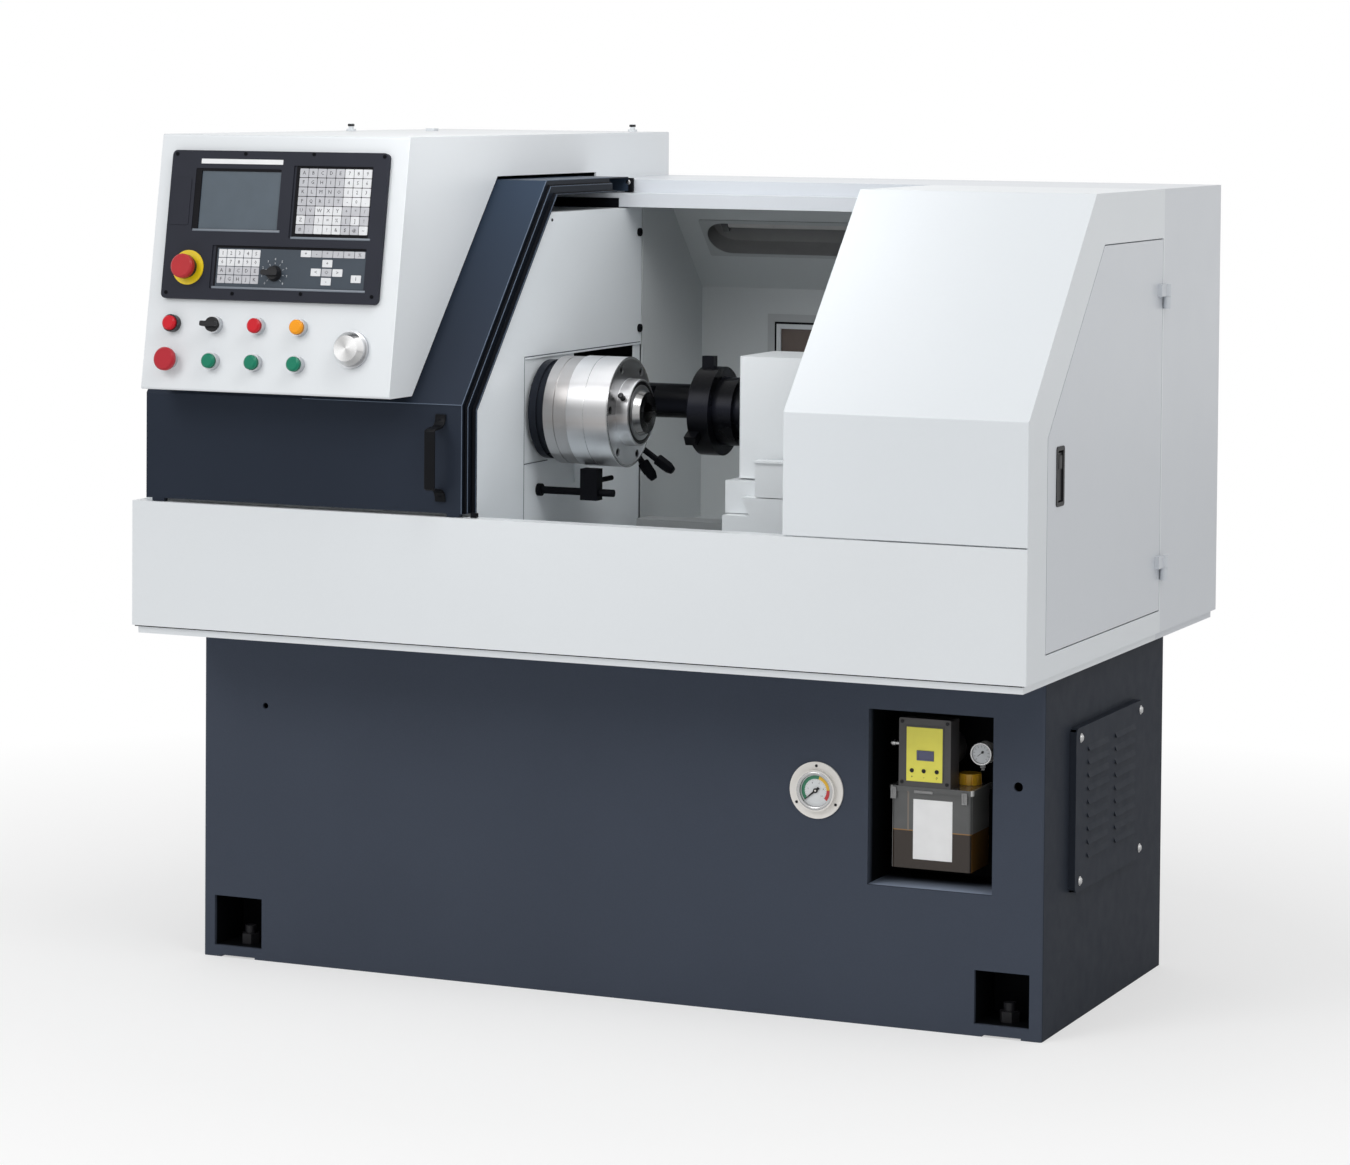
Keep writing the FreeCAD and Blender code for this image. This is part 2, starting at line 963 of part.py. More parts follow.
def pressure_gauge():
    """A flanged dial gauge let into the base's front, with its needle's arbor."""
    flange = pin(gauge_flange_radius, gauge_x, -gauge_flange, 0, gauge_z)
    bezel = pin(gauge_bezel_radius, gauge_x, -gauge_out, -gauge_flange, gauge_z)
    can = pin(gauge_body_radius, gauge_x, 0, gauge_can_depth, gauge_z)
    dial_face = gauge_dial_depth - gauge_out
    dial = pin(gauge_dial_radius, gauge_x, -gauge_out, dial_face, gauge_z)
    arbor = pin(arbor_radius, gauge_x, dial_face - arbor_length, dial_face, gauge_z)
    return joined([flange, bezel, can]).cut(dial).fuse(arbor)


def gauge_needle():
    """The pointer, turned down to the lower left as the gauge stands without pressure."""
    back = gauge_dial_depth - gauge_out - needle_lift
    front = back - hub_thickness
    hub = pin(needle_hub_radius, gauge_x, front, back, gauge_z)
    tail = gauge_z + needle_tail
    tip = gauge_z - needle_length
    blade = [(gauge_x - needle_wide, tail), (gauge_x + needle_wide, tail), (gauge_x + needle_narrow, tip),
             (gauge_x - needle_narrow, tip)]
    needle = hub.fuse(prism_y(blade, front, front + needle_thickness))
    needle.rotate(V(gauge_x, 0, gauge_z), BACK, needle_rest_angle)
    return needle.cut(pin(arbor_radius + bearing_clearance, gauge_x, front, back, gauge_z))


def lubricator_head():
    """The pump and timer housing over the tank, with the round motor behind it and its outlet."""
    right = pump_left + pump_width
    back = pump_front + pump_depth
    top = tank_top + pump_height
    rim = pump_plate_rim
    case = box(pump_left, right, pump_front, back, tank_top, top)
    case = rounded(case, pump_edge, BACK, lambda middle: middle.z > tank_top + 1)
    plate = box(pump_left + rim, right - rim, pump_front - 1, pump_front, tank_top + pump_plate_foot,
                top - rim)
    motor = pin(pump_motor_radius, pump_left + pump_motor_inset, back, niche_depth - pump_motor_back_gap,
                tank_top + pump_motor_rise)
    outlet = rod(outlet_radius, pump_left - outlet_length, pump_left, pump_front + outlet_depth,
                 tank_top + outlet_rise)
    return joined([case, plate, motor, outlet])


def oil_tank():
    """A clear moulded tank, open inside, with a filler neck and a rib that hooks to the niche's back."""
    x0, x1 = tank_left, tank_left + tank_width
    y0, y1 = tank_front, tank_front + tank_depth
    bottom = tank_top - tank_height
    edge = tank_edge_radius
    inset = tank_rib_inset
    shell = rounded(box(x0, x1, y0, y1, bottom, tank_top), edge, UP, lambda middle: True)
    rim = box(x0 - tank_rim_side, x1 + tank_rim_side, y0 - tank_wall, y1 + tank_wall,
              tank_top - tank_rim_height, tank_top)
    rim = rounded(rim, edge, UP, lambda middle: True)
    rib = box(x0 + inset, x1 - inset, y1, niche_depth, bottom + 2 * inset, tank_top - inset)
    neck = post(neck_radius, cap_x, cap_y, tank_top, tank_top + neck_height)
    hollow = box(x0 + tank_wall, x1 - tank_wall, y0 + tank_wall, y1 - tank_wall,
                 bottom + tank_wall, tank_top - tank_wall)
    mouth = post(neck_radius - tank_wall, cap_x, cap_y, tank_top - tank_wall - 1, tank_top + neck_height)
    return joined([shell, rim, rib, neck]).cut(hollow).cut(mouth)


def filler_cap():
    """A ribbed screw cap over the tank's neck."""
    low = tank_top + cap_gap
    high = tank_top + cap_height
    cap = post(cap_radius, cap_x, cap_y, low, high)
    grooves = []
    for turn in range(cap_ribs):
        angle = math.radians(360 / cap_ribs * turn)
        grooves.append(post(cap_groove_radius, cap_x + cap_radius * math.cos(angle),
                            cap_y + cap_radius * math.sin(angle), low, high - cap_groove_top))
    inside = post(neck_radius + bearing_clearance, cap_x, cap_y, low, tank_top + neck_height + rest_gap)
    return cap.cut(Part.makeCompound(grooves + [inside]))


def lube_gauge():
    """The small pressure dial on a stem from the niche's back."""
    back = lube_gauge_y + lube_gauge_depth
    face_radius = lube_gauge_radius - lube_gauge_rim
    body = pin(lube_gauge_radius, lube_gauge_x, lube_gauge_y, back, lube_gauge_z)
    face = pin(face_radius, lube_gauge_x, lube_gauge_y, lube_gauge_y + lube_gauge_sink, lube_gauge_z)
    stem = pin(lube_stem_radius, lube_gauge_x, back, niche_depth, lube_gauge_z)
    return joined([body, stem]).cut(face)


# Drip tray and sheet metal guard


def lip_ring(y0, y1, open_back):
    """The narrow skirt under the tray, set in from its edge."""
    outer = box(guard_left + lip_inset, guard_right - lip_inset, y0, y1, base_height, tray_bottom)
    front = y0 if open_back is False else y0 + sheet
    back = y1 if open_back else y1 - sheet
    return outer.cut(box(guard_left + lip_inset + sheet, guard_right - lip_inset - sheet, front, back,
                         base_height, tray_bottom))


def bearer(y):
    """A flat bar along the base's top that carries the tray."""
    return box(0, base_length, y, y + bearer_width, base_height, tray_bottom)


def drip_tray():
    """The folded tray: its front wall is the long apron, with a sill that the sliding door runs over."""
    front = box(guard_left, guard_right, guard_front, guard_front + sheet, tray_bottom, apron_top)
    front = rounded(front, 2, UP, lambda middle: middle.y < guard_front + 0.1)
    left = box(guard_left, guard_left + sheet, guard_front, guard_seam, tray_bottom, apron_top)
    floor = box(guard_left, guard_right - sheet, guard_front, guard_seam, tray_bottom, tray_bottom + sheet)
    right = box(guard_right - 2 * sheet, guard_right - sheet, guard_front + sheet, guard_seam, tray_bottom,
                tray_bottom + tray_right_height)
    sill = box(guard_left, guard_right - sheet, guard_front, guard_front + sill_width, apron_top - sheet,
               apron_top)
    lip = lip_ring(guard_front + lip_inset, guard_seam, True)
    bars = [bearer(0), bearer(guard_seam - bearer_width)]
    return joined([front, left, floor, right, sill, lip] + bars)


def hinge_places():
    return (hinge_low, hinge_high)


def rear_cover():
    """The box behind the seam, open to the front, with the fixed halves of the side door's hinges."""
    shell = box(guard_left, guard_right, guard_seam, guard_back, tray_bottom, guard_top)
    shell = rounded(shell, 3, UP, lambda middle: middle.y > guard_back - 1)
    hollow = box(guard_left + sheet, guard_right - sheet, guard_seam, guard_back - sheet,
                 tray_bottom + sheet, guard_top - sheet)
    pieces = [shell.cut(hollow), lip_ring(guard_seam, guard_back - lip_inset, False),
              bearer(base_depth - bearer_width)]
    for z in hinge_places():
        arm = box(guard_right, hinge_x + 1, hinge_y, guard_seam + hinge_frame_leaf, z, z + hinge_half)
        knuckle = post(hinge_radius, hinge_x, hinge_y, z, z + hinge_half)
        stub = post(hinge_pin_radius, hinge_x, hinge_y, z + hinge_half, z + 2 * hinge_half - 3)
        clear = box(guard_right - 1, guard_right + hinge_stand, hinge_y - 8, guard_seam, z, z + hinge_half)
        pieces.append(joined([arm.cut(clear), knuckle, stub]))
    return joined(pieces)


def hood_line():
    return [(guard_front, apron_top + hood_gap), (guard_front, hood_fold), (hood_slant_top, guard_top),
            (rail_step, guard_top)]


def service_outline(grown):
    """The side door's five corners in YZ, grown outward by a gap."""
    corners = [(service_front, service_foot), (service_back, service_foot), (service_back, service_top),
               (service_slant_top, service_top), (service_front, service_fold)]
    if grown == 0:
        return corners
    face = face_x(corners, 0).makeOffset2D(grown, 2)
    return [(point.Point.y, point.Point.z) for point in face.OuterWire.OrderedVertexes]


def right_hood():
    """The fixed right part of the guard: front, slanted panel, top and side wall in one folded cover."""
    line = hood_line()
    skin = strip_x(line, sheet, hood_left, guard_right)
    skin = rounded(skin, bend_radius, ALONG, at_points(line[1:3]))
    flange = strip_x(line, hood_flange, hood_left, hood_left + sheet)
    side_line = [(guard_front + sheet, tray_bottom), (guard_seam, tray_bottom), (guard_seam, guard_top)]
    side = prism_x(side_line + line[:3][::-1] + [(guard_front + sheet, line[0][1])],
                   guard_right - sheet, guard_right)
    body = joined([skin, flange, side])
    body = rounded(body, 2, UP, lambda m: m.x > guard_right - 0.1 and m.y < guard_front + 0.1)
    return body.cut(prism_x(service_outline(service_gap), guard_right - sheet - 1, guard_right + 1))


def top_rail():
    """The stepped beam along the back of the opening, which carries the sliding door's top."""
    line = [(rail_front, rail_bottom), (guard_seam, rail_bottom), (guard_seam, guard_top),
            (rail_step, guard_top), (rail_step, rail_ledge), (rail_front, rail_ledge)]
    x1 = guard_right - sheet
    beam = prism_x(line, cover_left, x1)
    core = face_x(line, cover_left).makeOffset2D(-rail_wall, 2)
    return beam.cut(core.extrude(V(x1 - cover_left, 0, 0)))


def cover_line(foot):
    """The headstock housing's outer line, set inside the sliding door's line."""
    fold = offset_line(door_line(), cover_offset)[1]
    run = (cover_top - fold[1]) * door_slant_run / (door_top - door_fold_height)
    return [(fold[0], foot), fold, (fold[0] + run, cover_top), (guard_seam - 3, cover_top)]


def headstock_cover():
    """The fixed housing over the headstock, under the sliding door when that stands open."""
    foot = bed_foot
    line = cover_line(foot)
    back = line[-1][0]
    skin = strip_x(line + [(back, bed_top + 1)], sheet, cover_left, guard_face)
    end = prism_x(line + [(back, foot)], cover_left, cover_left + sheet)
    bar_hole = rod(bar_hole_radius, cover_left, cover_left + sheet, spindle_y, spindle_z)
    return joined([skin, end.cut(bar_hole)])


def headstock_wall():
    """The upright plate at the housing's right end, cut back at its lower rear for the guard plate."""
    line = cover_line(bed_foot)
    corner_y = bed_front - cover_bed_gap
    outline = [line[0], (corner_y, bed_foot), (corner_y, bed_top + 1),
               (line[3][0], bed_top + 1), line[3], line[2], line[1]]
    plate = prism_x(outline, guard_face, wall_right_face)
    return plate.cut(box(guard_face, wall_right_face, guard_plate_front, guard_seam,
                         bed_top, guard_plate_top))


def headstock_guard():
    """The lower plate behind the upright one, with the spindle's hole and the notch over the chuck."""
    back = guard_face
    top = guard_plate_top + guard_plate_lap
    plate = box(back - sheet, back, guard_plate_front - guard_plate_lap, guard_seam - 6, bed_top + 1, top)
    notch = box(back - sheet, back, notch_front, notch_front + notch_length,
                guard_plate_top - notch_drop, top)
    seam = box(back - 1, back, guard_plate_front, spindle_y, guard_seam_height, guard_seam_height + 2)
    pad = box(back, back + pad_thickness, pad_front, pad_front + pad_width, pad_foot, pad_foot + pad_height)
    hole = rod(spindle_hole_radius, back - sheet, back, spindle_y, spindle_z)
    return plate.cut(Part.makeCompound([notch, seam, hole])).fuse(pad)


def liner_line():
    """The visible line of the work area's floor, back wall and slanted roof."""
    slant_top = liner_back - (guard_top - sheet - liner_fold) * liner_slope_run / liner_slope_rise
    return [(bed_back + 1, liner_floor), (liner_back, liner_floor), (liner_back, liner_fold),
            (slant_top, guard_top - sheet)]


def work_area_liner():
    """The folded lining inside the rear cover, with openings for the lamp and the window."""
    line = liner_line()
    x1 = guard_right - 2 * sheet - 4
    skin = strip_x(line, 2, wall_right_face - 2, x1)
    side_line = [(guard_seam + 2, liner_floor), line[1], line[2], line[3], (guard_seam + 2, line[3][1])]
    ends = [prism_x(side_line, wall_right_face - 2, wall_right_face), prism_x(side_line, x1 - 2, x1)]
    window = box(window_left + window_frame, window_left + window_width - window_frame, liner_back - 1,
                 liner_back + 3, window_foot + window_frame, window_foot + window_height - window_frame)
    lamp = on_slope(lamp_outline(lamp_frame_rim - 1, -4, 4))
    above = box(wall_right_face - 3, x1 + 1, guard_seam, guard_back, guard_top - sheet, guard_top + 3)
    return joined([skin] + ends).cut(Part.makeCompound([window, lamp, above]))


def on_slope(shape):
    """Carries a shape from the slanted roof's frame: X right, Y up the slope, Z into the work area."""
    run = -liner_slope_run
    turn = FreeCAD.Rotation(ALONG, math.degrees(math.atan2(liner_slope_rise, run)))
    return shape.transformed(FreeCAD.Placement(V(0, liner_back, liner_fold), turn).toMatrix())


def lamp_outline(rim, z0, z1):
    """A long block with round ends inside the lamp's frame, by a rim, in the roof's frame."""
    width = lamp_width - 2 * rim
    block = Part.makeBox(lamp_length - 2 * rim, width, z1 - z0, V(lamp_left + rim, lamp_low + rim, z0))
    return rounded(block, width / 2 - 0.5, UP, lambda middle: True)


def work_lamp():
    """A flush bulkhead lamp: a frame with a long round-ended pan behind it."""
    frame = Part.makeBox(lamp_length, lamp_width, lamp_sheet, V(lamp_left, lamp_low, 0))
    frame = rounded(frame, lamp_corner, UP, lambda middle: True)
    pan = lamp_outline(lamp_frame_rim, -lamp_depth, 0)
    hollow = lamp_outline(lamp_frame_rim + lamp_sheet, lamp_sheet - lamp_depth, lamp_sheet)
    half = lamp_holder_half
    holders = []
    for x in (lamp_left + lamp_end - lamp_holder_length, lamp_left + lamp_length - lamp_end):
        holders.append(Part.makeBox(lamp_holder_length, 2 * half, lamp_depth - lamp_holder_gap,
                                    V(x, lamp_tube_height - half, 1 - lamp_depth)))
    return on_slope(joined([frame.fuse(pan).cut(hollow)] + holders))


def lamp_tube():
    start = V(lamp_left + lamp_end, lamp_tube_height, -lamp_tube_depth)
    return on_slope(Part.makeCylinder(lamp_tube_radius, lamp_length - 2 * lamp_end, start, ALONG))


def back_window():
    """A framed pane in the work area's back wall."""
    x0, x1 = window_left, window_left + window_width
    z0, z1 = window_foot, window_foot + window_height
    rim = window_frame
    front = liner_back - window_frame_out
    frame = box(x0, x1, front, liner_back, z0, z1)
    frame = frame.cut(box(x0 + rim, x1 - rim, front, liner_back, z0 + rim, z1 - rim))
    pane = box(x0 + rim, x1 - rim, liner_back - 1, liner_back + 2, z0 + rim, z1 - rim)
    return Part.makeCompound([frame, pane])


# Moving doors


def door_line():
    return [(door_front, door_bottom), (door_front, door_fold_height), (door_slant_top, door_top),
            (door_back, door_top)]


def sliding_door():
    """A sheet folded front, slant and top, with a turned-down back edge and a stepped right jamb."""
    line = door_line()
    full = line + [(door_back, door_top - door_end_flange)]
    panel = strip_x(full, door_sheet, door_left, door_right)
    panel = rounded(panel, bend_radius, ALONG, at_points(full[1:4]))
    jamb = line[:3] + [(door_back - jamb_back, door_top)]
    half = jamb_step / 2
    near = offset_line(jamb, half - door_sheet)
    far = offset_line(jamb, jamb_step)
    middle_x = door_right + jamb_width * jamb_split
    pieces = [panel,
              strip_x(jamb, half, door_right - door_sheet, door_right),
              strip_x(near, door_sheet, door_right - door_sheet, middle_x),
              strip_x(near, jamb_step - half + 2 * door_sheet, middle_x - door_sheet, middle_x),
              strip_x(far, door_sheet, middle_x - door_sheet, door_right + jamb_width),
              strip_x(jamb, half, door_left, door_left + door_sheet)]
    for x in (door_left + glide_left_inset, door_right - glide_right_inset):
        pieces.append(box(x, x + glide_length, door_front, door_front + glide_depth,
                          apron_top + glide_clearance, door_bottom + glide_lap))
    return joined(pieces)


def door_handle():
    """A bar bent out from two mounting feet."""
    x = handle_x
    low = handle_foot + handle_foot_half
    high = handle_foot + handle_height - handle_foot_half
    bend = handle_bend
    front = door_front - handle_stand
    turn = bend * (1 - math.sqrt(0.5))
    edges = [Part.LineSegment(V(x, door_front, low), V(x, front + bend, low)).toShape(),
             Part.Arc(V(x, front + bend, low), V(x, front + turn, low + turn),
                      V(x, front, low + bend)).toShape(),
             Part.LineSegment(V(x, front, low + bend), V(x, front, high - bend)).toShape(),
             Part.Arc(V(x, front, high - bend), V(x, front + turn, high - turn),
                      V(x, front + bend, high)).toShape(),
             Part.LineSegment(V(x, front + bend, high), V(x, door_front, high)).toShape()]
    ring = Part.makeCircle(handle_bar_radius, V(x, door_front, low), BACK)
    bar = Part.Wire(edges).makePipeShell([Part.Wire([ring])], True, False)
    feet = []
    for z in (low, high):
        half = handle_foot_half
        foot = box(x - half, x + half, door_front - handle_foot_thickness, door_front, z - half, z + half)
        feet.append(rounded(foot, handle_foot_radius, BACK, lambda middle: True))
    return joined([bar] + feet)


def service_door():
    """The side door, a tray of sheet with a rim turned in, cut for its latch."""
    outline = service_outline(0)
    panel = prism_x(outline, guard_right - sheet, guard_right)
    rim = prism_x(outline, guard_right - service_rim, guard_right)
    core = face_x(outline, guard_right - service_rim).makeOffset2D(-sheet, 2)
    rim = rim.cut(core.extrude(V(service_rim, 0, 0)))
    slot = box(guard_right - sheet, guard_right, latch_y, latch_y + latch_width, latch_foot,
               latch_foot + latch_height)
    pieces = [panel.fuse(rim).cut(slot)]
    for z in hinge_places():
        low = z + hinge_half + hinge_gap
        arm = box(guard_right, hinge_x + 1, service_back - hinge_leaf, hinge_y, low, z + 2 * hinge_half)
        knuckle = post(hinge_radius, hinge_x, hinge_y, low, z + 2 * hinge_half)
        bore = post(hinge_pin_radius + bearing_clearance, hinge_x, hinge_y, low, z + 2 * hinge_half - 2)
        clear = box(guard_right - 1, guard_right + hinge_stand, service_back, hinge_y + 8, low,
                    z + 2 * hinge_half)
        pieces.append(arm.cut(clear).fuse(knuckle).cut(bore))
    return joined(pieces)


def latch_body():
    """The flush latch's case, open to the outside, with bores for the lever's pivots."""
    right = latch_y + latch_width
    top = latch_foot + latch_height
    rim = latch_flange
    wall = latch_wall
    out = guard_right + latch_flange_thickness
    flange = box(guard_right, out, latch_y - rim, right + rim, latch_foot - rim, top + rim)
    flange = rounded(flange, latch_corner, ALONG, lambda middle: True)
    case = box(guard_right - latch_depth, guard_right, latch_y, right, latch_foot, top)
    hollow = box(guard_right - latch_depth + latch_floor, out, latch_y + wall, right - wall,
                 latch_foot + wall, top - wall)
    pivot = pin(latch_pivot_radius + bearing_clearance, latch_pivot_x, latch_y + wall / 2,
                right - wall / 2, latch_pivot_z)
    return flange.fuse(case).cut(Part.makeCompound([hollow, pivot]))


def latch_lever():
    """The lever in the latch, pivoted near its foot, with a thumb pad near its top."""
    side = latch_wall + latch_play
    inset = lever_pad_inset
    right = latch_y + latch_width
    top = latch_foot + latch_height
    face = latch_pivot_x + lever_half
    lever = box(latch_pivot_x - lever_half, face, latch_y + side, right - side,
                latch_pivot_z - lever_half, top - lever_top_gap)
    pad = box(face, face + lever_pad_thickness, latch_y + inset, right - inset, top - lever_pad_foot,
              top - lever_pad_top)
    end = latch_wall / 2 + pivot_play
    pivot = pin(latch_pivot_radius, latch_pivot_x, latch_y + end, right - end, latch_pivot_z)
    return joined([lever, pad, pivot])


# Control cabinet and operator's controls


def cabinet_line():
    return [(cabinet_foot_y, cabinet_foot_z), (cabinet_cut_foot_y, cabinet_foot_z),
            (cabinet_cut_head_y, cabinet_cut_z), (cabinet_step_y, cabinet_cut_z),
            (cabinet_step_y, guard_top), (guard_back, guard_top), (guard_back, cabinet_top),
            (cabinet_head_y, cabinet_top)]


def control_cabinet():
    """The tilted cabinet, cut away below along the sliding door's path, with two lifting studs."""
    line = cabinet_line()
    x0, x1 = cabinet_left, cabinet_left + cabinet_length
    body = rounded(prism_x(line, x0, x1), bend_radius, ALONG, at_points([line[0], line[-1], line[-2]]))
    core = face_x(line, x0 + sheet).makeOffset2D(-sheet, 2)
    body = body.cut(core.extrude(V(cabinet_length - 2 * sheet, 0, 0)))
    holes = []
    for x, y in button_places() + [stop_place, knob_place]:
        holes.append(on_face(Part.makeCylinder(barrel_radius, 4 * sheet, V(x, y, -3 * sheet))))
    body = body.cut(Part.makeCompound(holes))
    plug_x = x0 + plug_inset
    plug_y = guard_seam + plug_behind_seam
    studs = [box(plug_x, plug_x + plug_size, plug_y, plug_y + plug_size, cabinet_top,
                 cabinet_top + plug_height)]
    for x, y in ((x0 + stud_left_inset, guard_seam - stud_front_gap),
                 (x1 - stud_right_inset, guard_back - stud_back_gap)):
        studs.append(post(stud_base_radius, x, y, cabinet_top, cabinet_top + stud_radius - 1))
        studs.append(post(stud_radius, x, y, cabinet_top, cabinet_top + stud_height))
    return joined([body] + studs)


def button_places():
    """Every control on the bare face below the operator plate, in the face's frame."""
    places = [(x, button_row_high) for x in button_columns]
    places += [(x, button_row_low) for x in button_columns]
    return places + [handwheel_place]


def control_plate():
    """The cast operator plate with its screen well, key fields, stop switch and knob holes."""
    plate = round_box(plate_width, plate_height, plate_thickness, 9)
    plate = plate.translated(V(plate_left, plate_foot, 0))
    wells = []
    for field, depth in ((screen_box, well_depth), (key_field_box, field_depth),
                         (lower_field_box, field_depth)):
        x, y, width, height = field
        well = round_box(width, height, depth, 2)
        wells.append(well.translated(V(x, y, plate_thickness - depth)))
    for x, y in (stop_place, knob_place):
        wells.append(Part.makeCylinder(stem_radius + bearing_clearance, plate_thickness, V(x, y, 0)))
    corner = V(plate_left + port_inset, plate_foot + port_rise, plate_thickness)
    cover = round_box(port_width, port_height, 1, 3).translated(corner)
    return on_face(plate.cut(Part.makeCompound(wells)).fuse(cover))


def screen():
    x, y, width, height = screen_box
    gap = glass_gap
    corner = V(x + gap, y + gap, plate_thickness - well_depth)
    return on_face(Part.makeBox(width - 2 * gap, height - 2 * gap, glass_thickness, corner))


def key_grid(x, y, columns, rows, pitch_x, pitch_y):
    """A block of equal key caps from its lower left corner."""
    keys = []
    for column in range(columns):
        for row in range(rows):
            corner = V(x + column * pitch_x, y + row * pitch_y, plate_thickness - field_depth)
            keys.append(Part.makeBox(pitch_x - key_gap, pitch_y - key_gap, key_thickness, corner))
    return keys


def keypads():
    """All the flat key caps, which bend on one membrane and so don't travel."""
    x, y = key_field_box[:2]
    keys = key_grid(x + letter_margin, y + letter_margin, letter_columns, letter_rows, letter_pitch_x,
                    letter_pitch_y)
    x, y = lower_field_box[:2]
    keys += key_grid(x + mode_margin_x, y + mode_margin_y, mode_columns, mode_rows, mode_pitch_x,
                     mode_pitch_y)
    keys += key_grid(x + strip_inset, y + strip_rise, strip_keys, 1, strip_pitch, strip_key_height)
    singles = [(start_inset, start_rise)]
    for along, up in ((0, 0), (-1, 0), (1, 0), (0, 1), (0, -1)):
        singles.append((arrow_inset + along * arrow_step_x, arrow_rise + up * arrow_step_y))
    for along, up in singles:
        keys += key_grid(x + along, y + up, 1, 1, arrow_width, arrow_height)
    return on_face(Part.makeCompound(keys))


def button_bezels():
    """The fixed collars of the controls, each with a bore for its stem, and the stop switch's ring."""
    collars = []
    for x, y in button_places():
        wide = (x, y) == handwheel_place
        rim = handwheel_base_radius if wide else collar_radius
        rise = handwheel_base if wide else collar_rise
        collar = Part.makeCylinder(rim, rise, V(x, y, 0))
        barrel = Part.makeCylinder(barrel_radius - barrel_play, barrel_depth, V(x, y, -barrel_depth))
        bore = Part.makeCylinder(stem_radius + bearing_clearance, rise + barrel_depth,
                                 V(x, y, -barrel_depth))
        well = Part.makeCylinder(head_radius + collar_play, rise, V(x, y, collar_floor))
        solid = collar.fuse(barrel).cut(bore)
        collars.append(solid if wide else solid.cut(well))
    x, y = stop_place
    foot = V(x, y, plate_thickness)
    ring = Part.makeCylinder(stop_ring_radius, stop_ring_thickness, foot)
    neck = Part.makeCylinder(stop_ring_radius - stop_rim, stop_neck, foot)
    bore = Part.makeCylinder(stem_radius + bearing_clearance, stop_neck, foot)
    collars.append(ring.fuse(neck).cut(bore))
    return on_face(Part.makeCompound(collars))


def push_button(x, y, radius, head_low, head_high):
    """A round head with a bevelled rim on the stem that slides in its collar."""
    edge = head_high - head_bevel
    stem = Part.makeCylinder(stem_radius, head_low + stem_depth, V(x, y, -stem_depth))
    low = Part.makeCylinder(min(radius, head_radius), edge - head_low, V(x, y, head_low))
    wide_low = head_low if radius <= head_radius else head_low + collar_rise - collar_floor
    head = Part.makeCylinder(radius, edge - wide_low, V(x, y, wide_low))
    rim = Part.makeCone(radius, radius - head_bevel, head_bevel, V(x, y, edge))
    return on_face(joined([stem, low, head, rim]))


def plain_button(column, row):
    low = collar_floor + button_travel + rest_gap
    return push_button(button_columns[column], row, head_radius, low, button_height)


def mushroom_button():
    low = collar_floor + button_travel + rest_gap
    return push_button(button_columns[0], button_row_low, mushroom_radius, low,
                       button_height + mushroom_rise)


def stop_head():
    """The large red head of the stop switch on the operator plate."""
    x, y = stop_place
    base = plate_thickness + stop_neck + stop_travel + rest_gap
    low = base + stop_lift
    high = low + stop_head_height
    stem = Part.makeCylinder(stem_radius, base + stop_stem_depth, V(x, y, -stop_stem_depth))
    neck = Part.makeCylinder(stop_neck_radius, stop_neck_length, V(x, y, base))
    head = Part.makeCylinder(stop_radius, stop_head_height, V(x, y, low))
    rim = Part.makeCone(stop_radius, stop_radius - head_bevel, head_bevel, V(x, y, high))
    return on_face(joined([stem, neck, head, rim]))


def selector_lever():
    """A round selector with its thumb lever."""
    x, y = button_columns[1], button_row_high
    low = collar_floor + rest_gap
    high = button_height - selector_sink
    stem = Part.makeCylinder(stem_radius, low + stem_depth, V(x, y, -stem_depth))
    head = Part.makeCylinder(head_radius, high - low, V(x, y, low))
    lever = round_box(selector_length, grip_width, grip_width, head_bevel)
    lever = lever.translated(V(x - selector_back, y - grip_width / 2, high))
    return on_face(joined([stem, head, lever]))


def override_knob():
    """The feed override knob, with a pointer bar across its top."""
    x, y = knob_place
    low = plate_thickness - knob_seat
    stem = Part.makeCylinder(stem_radius, low + stop_stem_depth, V(x, y, -stop_stem_depth))
    skirt = Part.makeCone(knob_radius, knob_radius - knob_taper, knob_skirt, V(x, y, low))
    grip = round_box(2 * knob_radius + grip_overhang, grip_width, knob_skirt, head_bevel)
    grip = grip.translated(V(x - knob_radius - grip_overhang, y - grip_width / 2, low + knob_grip_height))
    return on_face(joined([stem, skirt, grip]))


def handwheel():
    """The bright pulse wheel, with a turned flank."""
    x, y = handwheel_place
    low = handwheel_base + slide_gap * 2
    edge = low + handwheel_rim
    stem = Part.makeCylinder(stem_radius, low + stem_depth, V(x, y, -stem_depth))
    rim = Part.makeCylinder(handwheel_radius, handwheel_rim, V(x, y, low))
    cone = Part.makeCone(handwheel_radius, handwheel_radius - handwheel_taper, handwheel_dome, V(x, y, edge))
    return on_face(joined([stem, rim, cone]))


# Bed, headstock and spindle


def bed_casting():
    """An open-bottomed casting with two ways and a trough between them for the carriage screw."""
    wall = bed_wall
    block = box(bed_left, bed_right, bed_front, bed_back, bed_foot, bed_top)
    ways = []
    for y in (way_front, way_back - way_width):
        ways.append(box(trough_left, bed_right, y, y + way_width, bed_top, way_top))
    trough = box(trough_left, trough_right, carriage_screw_y - trough_width / 2,
                 carriage_screw_y + trough_width / 2, trough_bottom, bed_top)
    core = box(bed_left + wall, bed_right - wall, bed_front + wall, bed_back - wall, bed_foot,
               trough_bottom - wall)
    bore = rod(screw_journal_radius + bearing_clearance, trough_left - wall, bed_right, carriage_screw_y,
               carriage_screw_z)
    return joined([block] + ways).cut(Part.makeCompound([trough, core, bore]))


